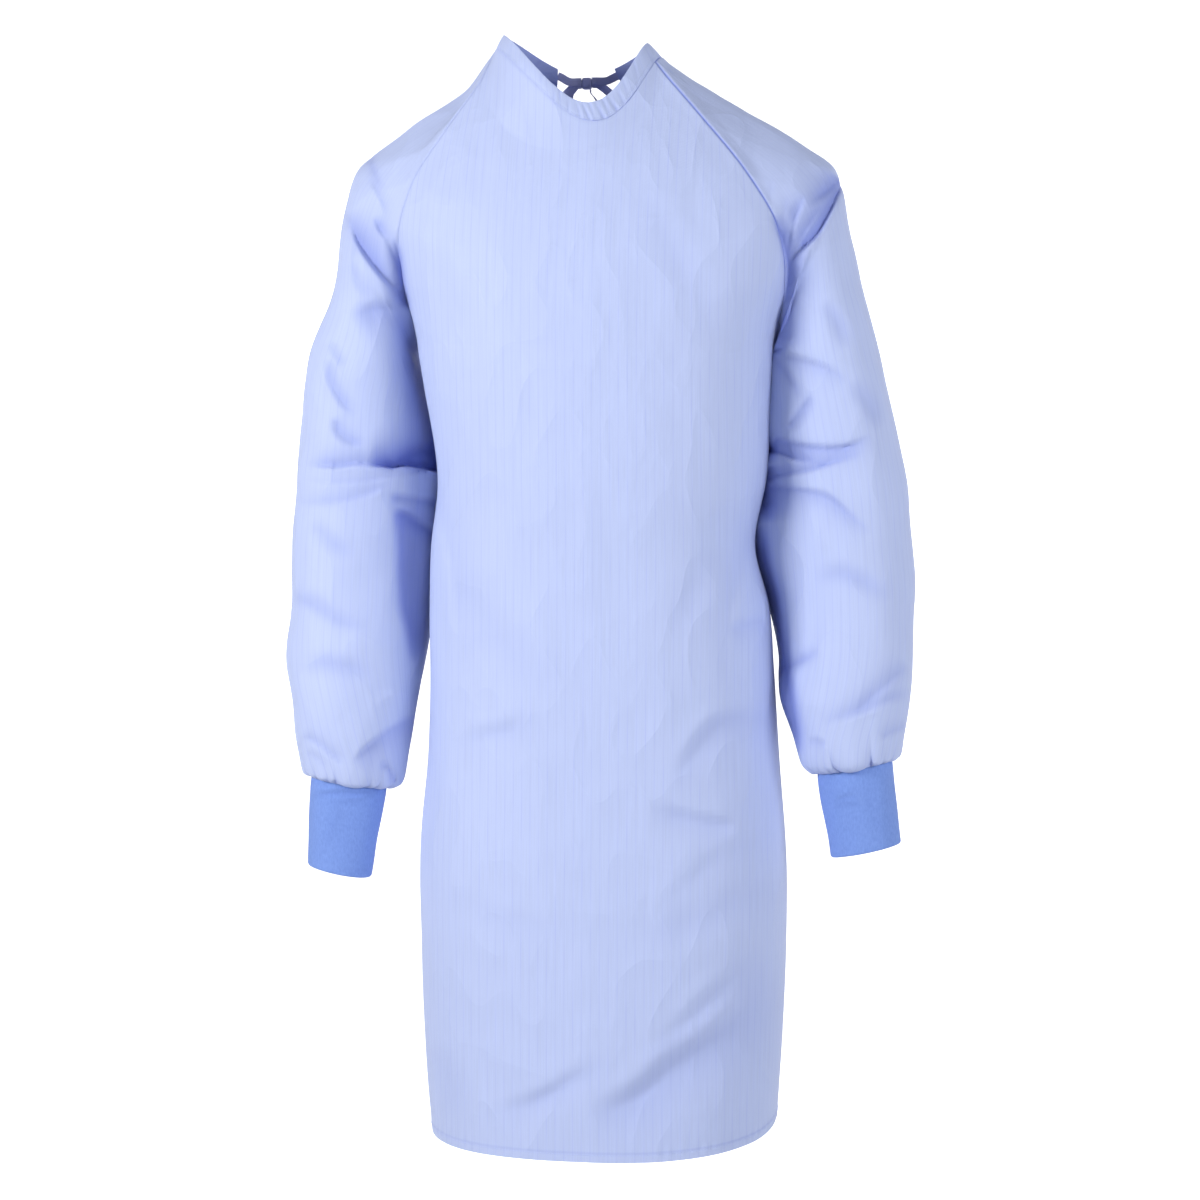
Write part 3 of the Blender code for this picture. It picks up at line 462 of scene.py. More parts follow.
def measured(grid, first_column, straight=0):
    """Places on the flat cloth in millimetres: across from one column of a grid, and down from its top row.
    Within straight of the middle plane the cloth lies so flat that its threads are plumb."""
    steps = length(np.diff(grid, axis=1))[..., 0]
    if straight:
        rounding = np.clip(np.abs(grid[:, 1:, 0]) / straight - 1, 0, 1)
        level = np.abs(np.diff(grid[..., 0], axis=1))
        steps = level + (steps - level) * rounding
    across = np.cumsum(np.concatenate((np.zeros((len(grid), 1)), steps), axis=1), axis=1)
    down = walked_down(grid)
    return np.stack((across - across[:, first_column, None], down), axis=-1)


def shell(name, outer, inner, uv, material, outward=1, closed=False, creases=None):
    """A thin closed shell between two grids of points in millimetres. outward is 1 where the grid's own
    normals face outwards. uv has one column more than the grids where they close on themselves. creases, from
    0 to 1, is the shade painted into the creases, kept on the points for the material; the inner face is
    painted darker still."""
    rows, columns = outer.shape[:2]
    wide = columns + closed
    number = np.arange(rows * wide).reshape(rows, wide)
    quads = np.stack((number[:-1, :-1], number[:-1, 1:], number[1:, 1:], number[1:, :-1]), axis=-1)
    quads = quads.reshape(-1, 4)
    loops = [number[0], number[-1][::-1]]
    if not closed:
        loops = [np.concatenate((number[0], number[1:, -1], number[-1, -2::-1], number[-2::-1, 0]))]
    layer = rows * wide
    rims = [np.stack((rim[1:], rim[:-1], rim[:-1] + layer, rim[1:] + layer), axis=-1) for rim in loops]
    faces = np.concatenate((quads, quads[:, ::-1] + layer, *rims))
    if outward < 0:
        faces = faces[:, ::-1]
    which, place = np.divmod(faces, layer)
    row, column = np.divmod(place, wide)
    corners = which * rows * columns + row * columns + column % columns
    mesh = bpy.data.meshes.new(name)
    mesh.from_pydata(np.concatenate((outer.reshape(-1, 3), inner.reshape(-1, 3))) * MM, [], corners.tolist())
    mesh.uv_layers.new(name="cloth").data.foreach_set("uv", (uv[row, column] * MM).astype(np.float32).ravel())
    if creases is not None:
        kept = mesh.attributes.new("crease", "FLOAT", "POINT")
        inside = INSIDE_PAINTED_SHADE + (1 - INSIDE_PAINTED_SHADE) * creases
        kept.data.foreach_set("value", np.concatenate((creases, inside)).astype(np.float32).ravel())
    mesh.shade_smooth()
    mesh.set_sharp_from_angle(angle=math.radians(SHARP_FROM))
    mesh.materials.append(material)
    piece = bpy.data.objects.new(name, mesh)
    bpy.context.scene.collection.objects.link(piece)
    return piece


def linear(hex_colour):
    """An sRGB colour as linear red, green, blue and alpha."""
    parts = [int(hex_colour[i:i + 2], 16) / 255 for i in (1, 3, 5)]
    return (*(part / 12.92 if part <= 0.04045 else ((part + 0.055) / 1.055) ** 2.4 for part in parts), 1)


def add(tree, kind, settings=(), **inputs):
    """Adds a node to a tree, with its settings, and its inputs as values or links by name or number."""
    node = tree.nodes.new(kind)
    for name, value in dict(settings).items():
        setattr(node, name, value)
    for name, value in inputs.items():
        socket = node.inputs[int(name[1:])] if name[0] == "_" else node.inputs[name.replace("_", " ")]
        if isinstance(value, bpy.types.NodeSocket):
            tree.links.new(value, socket)
        else:
            socket.default_value = value
    return node


def maths(tree, operation, *values):
    """Adds a maths node and gives its result."""
    named = {f"_{i}": value for i, value in enumerate(values)}
    return add(tree, "ShaderNodeMath", {"operation": operation}, **named).outputs[0]


def wave(tree, value, apart):
    """Adds a sine wave over a value, its crests that far apart."""
    return maths(tree, "SINE", maths(tree, "MULTIPLY", value, 2 * math.pi / apart))


def ranged(tree, value, given, wanted, curve="LINEAR"):
    """Adds a node that turns one range of values into another."""
    return add(tree, "ShaderNodeMapRange", {"interpolation_type": curve}, Value=value, _1=given[0],
               _2=given[1], _3=wanted[0], _4=wanted[1]).outputs[0]


def noise(tree, place, grains, detail, roughness=0.5):
    """Adds a noise over places on the flat cloth, with so many grains to a millimetre across and down."""
    across, down = (maths(tree, "MULTIPLY", value, number) for value, number in zip(place, grains))
    spot = add(tree, "ShaderNodeCombineXYZ", X=across, Y=down)
    return add(tree, "ShaderNodeTexNoise", Vector=spot.outputs[0], Scale=1.0, Detail=detail,
               Roughness=roughness).outputs[0]


def mixed(tree, share, one, other, blend="MIX"):
    """Adds a mix of two colours, each a hex code, a linear colour or a link."""
    one, other = (linear(colour) if isinstance(colour, str) else colour for colour in (one, other))
    return add(tree, "ShaderNodeMix", {"data_type": "RGBA", "blend_type": blend}, _0=share, _6=one,
               _7=other).outputs[2]


def painted_crease_shade(tree, colour, deep, most):
    """Paints shade into the creases of the mesh: turns a colour towards a deeper one, by that share at most.
    """
    crease = add(tree, "ShaderNodeAttribute", {"attribute_name": "crease", "attribute_type": "GEOMETRY"})
    return mixed(tree, maths(tree, "MULTIPLY", crease.outputs["Fac"], most), colour, deep)


def new_material(name, **settings):
    """A material whose shader has these settings. Gives it with its node tree and its shader."""
    material = bpy.data.materials.new(name)
    material.use_nodes = True
    shader = material.node_tree.nodes["Principled BSDF"]
    for setting, value in settings.items():
        shader.inputs[setting.replace("_", " ")].default_value = value
    return material, material.node_tree, shader


def on_cloth(tree):
    """The place on the flat cloth in millimetres, across and down."""
    flat = add(tree, "ShaderNodeUVMap", {"uv_map": "cloth"})
    place = add(tree, "ShaderNodeSeparateXYZ", Vector=flat.outputs["UV"])
    return [maths(tree, "MULTIPLY", place.outputs[axis], 1 / MM) for axis in ("X", "Y")]


def barrier_cloth(name, colour, stripe=None):
    """Woven polyester barrier cloth: tightly woven microfilament, calendered, so it is matt with a slight
    sheen and faint upright streaks. Carbon threads for static make the darker pinstripes."""
    material, tree, shader = new_material(name, Roughness=0.62, Specular_IOR_Level=0.32, Sheen_Weight=0.22,
                                          Sheen_Roughness=0.45, Sheen_Tint=linear("#DCE6FF"))
    across, down = place = on_cloth(tree)
    streaks = noise(tree, place, STREAKS, 3.0, 0.65)
    washed = (*(part * WASHED for part in linear(colour)[:3]), 1)
    shade = mixed(tree, noise(tree, place, CLOUDS, 2.0), colour, washed)
    shade = mixed(tree, STREAKED, shade, ranged(tree, streaks, NOISE_SPAN, STREAK_SHADES), "MULTIPLY")
    if stripe:
        turns = maths(tree, "FRACT", maths(tree, "ADD", maths(tree, "DIVIDE", across, STRIPE_APART), 0.5))
        near = maths(tree, "ABSOLUTE", maths(tree, "SUBTRACT", turns, 0.5))
        near = maths(tree, "MULTIPLY", near, STRIPE_APART)
        line = ranged(tree, near, STRIPE_EDGE, (0.0, 1.0), "SMOOTHSTEP")
        strength = ranged(tree, noise(tree, place, PATCHES, 2.0), (0.3, 0.7), STRIPE_STRENGTH)
        shade = mixed(tree, maths(tree, "MULTIPLY", line, strength), shade, stripe)
    # The cloth's colour is painted with a deeper blue shade in the creases of the mesh.
    tree.links.new(painted_crease_shade(tree, shade, CREASE_SHADE_BLUE, CREASE_SHADE_MOST), shader.inputs["Base Color"])
    weave = maths(tree, "MULTIPLY", wave(tree, across, THREAD), wave(tree, down, THREAD))
    weave = maths(tree, "ADD", weave, maths(tree, "MULTIPLY", streaks, 2.0))
    spot = add(tree, "ShaderNodeMapping", Vector=add(tree, "ShaderNodeTexCoord").outputs["Object"],
               Scale=(1 / WRINKLE / MM, 1 / WRINKLE / MM, 1 / WRINKLE_LONG / MM))
    wrinkles = add(tree, "ShaderNodeTexNoise", {"noise_type": "RIDGED_MULTIFRACTAL", "normalize": False},
                   Vector=spot.outputs[0], Scale=1.0, Detail=2.0, Roughness=0.4, Lacunarity=2.1, Offset=0.9,
                   Gain=1.0)
    crumpled = add(tree, "ShaderNodeBump", Strength=0.6, Distance=2.2 * MM, Height=wrinkles.outputs[0])
    bump = add(tree, "ShaderNodeBump", Strength=0.25, Distance=0.12 * MM, Height=weave,
               Normal=crumpled.outputs[0])
    tree.links.new(bump.outputs[0], shader.inputs["Normal"])
    return material


def sewn(piece, node):
    """Puts a piece on the gown's body in the place of its solid."""
    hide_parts(node)
    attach(piece, "root")


def stitch_nodes(sewing_thread):
    """Geometry nodes that lay stitches along a line: each a small flattened bead of thread that follows the
    line and lies flat on the cloth."""
    tree = bpy.data.node_groups.new("stitches", "GeometryNodeTree")
    sockets = {
        name: tree.interface.new_socket(name, in_out="INPUT", socket_type=f"NodeSocket{kind}")
        for name, kind in (("Line", "Geometry"), ("Apart", "Float"), ("Size", "Vector"))
    }
    tree.interface.new_socket("Stitches", in_out="OUTPUT", socket_type="NodeSocketGeometry")
    given = add(tree, "NodeGroupInput")
    curve = add(tree, "GeometryNodeMeshToCurve", Mesh=given.outputs["Line"])
    places = add(tree, "GeometryNodeResampleCurve", {"mode": "LENGTH"}, Curve=curve.outputs[0],
                 Length=given.outputs["Apart"])
    bead = add(tree, "GeometryNodeMeshUVSphere", Segments=6, Rings=4, Radius=0.5)
    shaped = add(tree, "GeometryNodeTransform", Geometry=bead.outputs[0], Scale=given.outputs["Size"])
    facing = add(tree, "GeometryNodeInputNamedAttribute", {"data_type": "FLOAT_VECTOR"}, Name="facing")
    flat = add(tree, "FunctionNodeAlignRotationToVector", {"axis": "Z"}, Vector=facing.outputs[0])
    led = add(tree, "FunctionNodeAlignRotationToVector", {"axis": "X", "pivot_axis": "Z"},
              Rotation=flat.outputs[0], Vector=add(tree, "GeometryNodeInputTangent").outputs[0])
    laid = add(tree, "GeometryNodeInstanceOnPoints", Points=places.outputs[0], Instance=shaped.outputs[0],
               Rotation=led.outputs[0])
    real = add(tree, "GeometryNodeRealizeInstances", Geometry=laid.outputs[0])
    done = add(tree, "GeometryNodeSetMaterial", Geometry=real.outputs[0], Material=sewing_thread)
    tree.links.new(done.outputs[0], add(tree, "NodeGroupOutput").inputs[0])
    return tree, sockets


def made_real(piece):
    """Turns a piece with modifiers into a plain smooth mesh."""
    shaped = bpy.data.meshes.new_from_object(piece.evaluated_get(bpy.context.evaluated_depsgraph_get()))
    piece.modifiers.clear()
    piece.data = shaped
    piece.data.shade_smooth()


def stitch(name, lines, facings, apart=STITCH_APART, size=STITCH):
    """Sews lines of stitches onto the cloth. facings are the ways that the cloth faces along them."""
    mesh = bpy.data.meshes.new(name)
    counts = [len(line) for line in lines]
    starts = np.concatenate(([0], np.cumsum(counts)[:-1]))
    edges = [(start + i, start + i + 1) for start, count in zip(starts, counts) for i in range(count - 1)]
    mesh.from_pydata(np.concatenate(lines) * MM, edges, [])
    kept = mesh.attributes.new("facing", "FLOAT_VECTOR", "POINT")
    kept.data.foreach_set("vector", np.concatenate(facings).astype(np.float32).ravel())
    piece = bpy.data.objects.new(name, mesh)
    bpy.context.scene.collection.objects.link(piece)
    sewing = piece.modifiers.new("sewing", "NODES")
    sewing.node_group, sockets = stitching
    sewing[sockets["Apart"].identifier] = apart * MM
    sewing[sockets["Size"].identifier] = [value * MM for value in size]
    made_real(piece)
    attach(piece, "root")


acrosses = np.concatenate((NEAR_EDGE, np.linspace(NEAR_EDGE[-1], 2 - NEAR_EDGE[-1], FRONT_STEPS + 1)[1:-1],
                           2 - np.array(NEAR_EDGE[::-1]))) - 1
front = np.array([front_points(place, acrosses) for place in row_places(FRONT)])
front_uv = measured(front, len(acrosses) // 2, straight=PLUMB)
front_uv[..., 0] += front[:, len(acrosses) // 2, None, 0]
front_out = -normals_of(front, False)
front_seams = [away_from(front, line) for line in (front[:1], front[:, :1], front[:, -1:])]
nearest = np.min(front_seams, axis=0)
front_hem = away_from(front, front[-1:])
uneven = bumps_of(front, (3, 4), FRONT_BUMPS)
hem_step, hem_up = hem(front_hem, front_uv[..., 0], FRONT_PUCKER, 2 * np.sin(front_uv[..., 0] / 37))
front_up = sum(seam_relief(away, height) for away, height in zip(front_seams, SEAM_RELIEF))
front_up += uneven * np.clip(nearest / SEAM_FREE, 0, 1) + hem_up
front = front + front_out * front_up[..., None]
front, soft_creases = press(front, FRONT_FOLDS, in_photo, to_camera, FRONT_OF)
front, front_creases = press(front, ARMPIT_FOLDS[-1] + ARMPIT_FOLDS[1], in_photo, to_camera, FRONT_OF)
# Painted shade: the folds, the hem's line and the seams darken the cloth's colour.
front_creases = np.maximum.reduce((
    front_creases, SOFT_DARK * soft_creases, line_of(front_hem - HEM, HEM_DARK),
    line_of(front_seams[0], NECK_DARK), line_of(front_seams[1], SEAM_DARK[-1]),
    line_of(front_seams[2], SEAM_DARK[1]),
))
front_out = -normals_of(front, False)
front_in = wrong_side(front, front_out, nearest, hem_step)
blue_cloth = barrier_cloth("barrier_cloth", CLOTH_BLUE, STRIPE_BLUE)
front_panel = shell("front_cloth", front, front_in, front_uv, blue_cloth, outward=-1, creases=front_creases)
sewn(front_panel, "front_panel")

# Spun polyester sewing thread, dyed to match: soft and matt, a little lighter on top than the cloth.
sewing_thread, thread_tree, thread_shader = new_material("spun_polyester_thread", Roughness=0.75)
fuzz = add(thread_tree, "ShaderNodeTexNoise", Vector=add(thread_tree, "ShaderNodeTexCoord").outputs["Object"],
           Scale=0.4 / MM, Detail=2.0)
thread_blue = mixed(thread_tree, fuzz.outputs[0], "#9FADE2", "#BECBF2")
thread_tree.links.new(thread_blue, thread_shader.inputs["Base Color"])
stitching = stitch_nodes(sewing_thread)
HEM_ROW = -5           # the row of the grid that the hem is stitched along
SEAM_ALLOWED = slice(2, -2)  # its stitches end this many columns from the seams
stitch("stitches_front_hem", [front[HEM_ROW, SEAM_ALLOWED]], [front_out[HEM_ROW, SEAM_ALLOWED]])

# ---------------------------------------------------------------------------------------------------
# The two back panels: the same cloth, each from its raglan and side seams to a free edge with a narrow
# turned hem. The back is open from the neck down, and the lower edges are hemmed as the front's.

# Row for row with FRONT. edge columns are the two free edges of the open back.
BACK_COLUMNS = (
    "x_left", "z_left", "x_right", "z_right", "y_seam", "x_mid", "y_mid", "z_mid", "turn",
    "edge_left", "edge_right",
)
BACK = (
    (-88, 40, 42, 37, 42, -23, 78, 19, 55, -57, 11),
    (-108, 8, 70, 9, 58, -22, 88, -12, 56, -60, 14),
    (-142, -38, 108, -38, 76, -20, 98, -52, 58, -62, 18),
    (-176, -92, 152, -92, 84, -18, 107, -100, 60, -62, 21),
    (-194, -142, 184, -143, 80, -16, 113, -150, 64, -61, 24),
    (-199, -194, 195, -196, 58, -14, 115, -204, 74, -59, 27),
    (-192, -246, 184, -246, 3, -12, 116, -254, 88, -57, 30),
    (-184, -296, 179, -296, 4, -10, 115, -301, 90, -55, 33),
    (-171, -389, 174, -389, 5, -8, 110, -392, 90, -53, 36),
    (-178, -462, 162, -462, 5, -6, 106, -464, 90, -52, 37),
    (-180, -525, 177, -525, 5, -6, 106, -527, 90, -52, 38),
    (-179, -588, 182, -588, 5, -5, 109, -590, 90, -52, 39),
    (-182, -682, 188, -682, 6, -5, 114, -684, 90, -53, 41),
    (-191, -777, 195, -777, 6, -5, 119, -779, 90, -54, 43),
    (-190, -872, 196, -872, 6, -5, 123, -874, 90, -55, 45),
    (-187, -966, 193, -964, 6, -5, 126, -968, 90, -57, 48),
    (-182, -1043, 189, -1030, 6, -5, 128, -1038, 90, -59, 50),
    (-178, -1079, 187, -1060, 6, -5, 128, -1072, 90, -60, 51),
)
BACK_STEPS = 58        # columns of a back panel, apart from
EDGE_WIDER = 2.4       # those near its seams, which lie this much further apart than the front's
BACK_OF = 12           # the folds lie behind this
BACK_DARK = 0.4        # and their painted shade is this dark beside the front's
# painted shade along their seams: how dark, and half its width
BACK_SEAM_DARK = (0.4, 1.5)
BACK_PUCKER = 0.25
BACK_BUMPS = ((110, 0.9, 2.4), (40, 0.2, 1.6))
BACK_UP = np.array((0, 1, 0))  # towards the eye that the folds are drawn for
EDGE_COLUMN = -3       # the column of the grid that the free edge is stitched along
# Their paths run over places to the viewer's right and down from the origin, seen through the gown's front.
BACK_FOLDS = {
    -1: (
        (7.0, 22, 20, 2.0, 1.5, 0, 0.3, 0.3, ((-112, 240), (-104, 330), (-98, 440), (-92, 570))),
        (9.0, 22, 20, 1.9, 2.0, 0, 0.35, 0.02, ((-122, 620), (-112, 760), (-104, 900), (-96, 1090))),
        (-5.0, 16, 16, 2.0, 0, 0, 0.4, 0.02, ((-66, 700), (-70, 850), (-74, 1090))),
        (4.0, 12, 12, 1.7, 1.0, 0, 0.2, 0.4, ((-186, 262), (-160, 300), (-128, 350))),
        (3.0, 14, 14, 1.9, 0.8, 0, 0.3, 0.4, ((-176, 470), (-140, 490), (-104, 530))),
    ),
    1: (
        (7.0, 22, 20, 2.0, 1.5, 0, 0.3, 0.3, ((106, 240), (100, 330), (96, 440), (90, 560))),
        (9.0, 22, 20, 1.9, 2.0, 0, 0.35, 0.02, ((114, 600), (108, 760), (102, 900), (94, 1090))),
        (-5.0, 16, 16, 2.0, 0, 0, 0.4, 0.02, ((58, 720), (63, 860), (67, 1090))),
        (4.0, 12, 12, 1.7, 1.0, 0, 0.2, 0.4, ((178, 262), (152, 304), (122, 356))),
        (3.0, 14, 14, 1.9, 0.8, 0, 0.3, 0.4, ((168, 486), (136, 500), (100, 544))),
        (14.0, 30, 30, 2.0, 0, 0, 0.35, 0.35, ((182, 256), (170, 310), (164, 370), (162, 440), (166, 500))),
    ),
}


def back_sections(place, side, inward):
    """Points of a back section before it blends into the neckline: inward is 0 at the seam, 1 at the edge."""
    row = row_at(BACK, BACK_COLUMNS, place)
    name = "left" if side < 0 else "right"
    reach = (row["edge_" + name] - row["x_mid"]) / (row["x_" + name] - row["x_mid"])
    turn = math.radians(row["turn"])
    free = math.asin(reach ** (1 / roundness(place)) * math.sin(turn)) / turn
    return section_points(row, place, side * (1 + (free - 1) * inward))


def back_points(place, side, inward):
    """Points of a back panel: side is -1 or 1."""
    inward = np.atleast_1d(np.asarray(inward, float))
    points = back_sections(place, side, inward)
    if place < 1:
        on_ring = neck_point(side * (BACK_SEAM_ANGLE + (BACK_EDGE_ANGLE - BACK_SEAM_ANGLE) * inward), 0)
        points = points + (on_ring - back_sections(0, side, inward)) * (1 - place)
    return points


inwards = np.concatenate((
    np.array(NEAR_EDGE) * EDGE_WIDER, np.linspace(NEAR_EDGE[-1] * EDGE_WIDER, 1, BACK_STEPS + 1)[1:],
))
for side, name in ((-1, "left"), (1, "right")):
    back = np.array([back_points(place, side, inwards) for place in row_places(BACK)])
    back_uv = measured(back, -1)
    back_out = -side * normals_of(back, False)
    seams = [away_from(back, line) for line in (back[:1], back[:, :1])]
    nearest = np.min(seams, axis=0)
    edge = np.min([away_from(back, line) for line in (back[-1:], back[:, -1:])], axis=0)
    seam_free = np.clip(nearest / SEAM_FREE, 0, 1)
    folded, back_creases = press(back, BACK_FOLDS[side], in_front, BACK_UP, BACK_OF)
    hem_step, hem_up = hem(edge, back_uv.sum(axis=-1), BACK_PUCKER)
    lift = bumps_of(back, (20 + side, 30 + side), BACK_BUMPS) * seam_free
    lift += hem_up + sum(seam_relief(away, height) for away, height in zip(seams, SEAM_RELIEF))
    back = back + (folded - back) * seam_free[..., None] + back_out * lift[..., None]
    back_out = -side * normals_of(back, False)
    back_in = wrong_side(back, back_out, nearest, hem_step)
    # Painted shade: its folds, its hem and its seams darken its colour.
    back_creases = np.maximum.reduce((
        BACK_DARK * back_creases, line_of(edge - HEM, HEM_DARK), line_of(nearest, BACK_SEAM_DARK),
    ))
    piece = shell(f"back_cloth_{name}", back, back_in, back_uv, blue_cloth, outward=-side,
                  creases=back_creases)
    sewn(piece, f"back_panel_{name}")
    rows = ((HEM_ROW, SEAM_ALLOWED), (slice(3, HEM_ROW), EDGE_COLUMN))
    stitch(f"stitches_back_{name}", [back[row] for row in rows], [back_out[row] for row in rows])

# ---------------------------------------------------------------------------------------------------
# The raglan sleeves: the same cloth cut with the stripes along the arm, joined under the arm, sewn to the
# panels up to the neckline, and gathered onto the cuffs.

NECK_STEPS = 20        # of a sleeve's top, between its two raglan seams
NEAR_SEAM = 0.2        # of a panel's width: the stretch that gives the direction of the cloth at its seam
SEAM_REACH = 0.5       # how far a sleeve keeps the direction in which it leaves its top edge
SEAM_ROW_ANGLE = (20, 26, 35, 54, 78, 112, 180)  # where each row of the raglan seams meets the shoulder ring
EVEN_ROW = 3           # from this row of a sleeve's table on, its points are even round the ring
NECK_BASE = 0.2        # this share of the way from the neckline to the shoulder, the cloth sags by
NECK_BASE_SAG = {-1: 17, 1: 2}  # so much, where the collar's stand ends,
NECK_BASE_SPREAD = 40  # and less away from the shoulder's ridge, over these degrees
# Rings between the rows of a sleeve's table.
SLEEVE_RINGS = (10, 28, 18, 18, 18, 28, 28, 22, 20, 16, 12, 10, 8)

# x, y and z of the outer side of a ring, the same of its inner side next to the body, and half its depth.
SLEEVES = {
    -1: (
        (-257, 12, -66, -198, 14, -258, 66),
        (-274, 12, -120, -192, 24, -280, 69),
        (-284, 10, -186, -186, 36, -308, 73),
        (-307, 10, -250, -179, 44, -344, 76),
        (-324, 12, -360, -174, 48, -394, 79),
        (-330, 10, -450, -178, 44, -452, 80),
        (-332, 4, -520, -183, 30, -514, 77),
        (-333, -10, -580, -188, 8, -572, 72),
        (-323, -24, -630, -195, -8, -628, 67),
        (-317, -30, -670, -201, -20, -674, 58),
        (-310, -33, -700, -209, -28, -712, 46),
        (-303, -34, -704, -222, -32, -716, 36),
    ),
    1: (
        (243, 12, -74, 188, 14, -258, 66),
        (257, 12, -120, 171, 34, -280, 69),
        (272, 10, -186, 164, 49, -308, 73),
        (288, 10, -250, 160, 53, -344, 76),
        (313, 12, -360, 159, 55, -394, 79),
        (324, 10, -450, 155, 56, -452, 80),
        (328, 4, -520, 171, 45, -514, 77),
        (328, -10, -580, 187, 19, -572, 72),
        (323, -24, -620, 191, -6, -620, 66),
        (318, -30, -650, 204, -20, -652, 57),
        (314, -33, -674, 217, -28, -686, 47),
        (308, -34, -678, 230, -32, -694, 36),
    ),
}

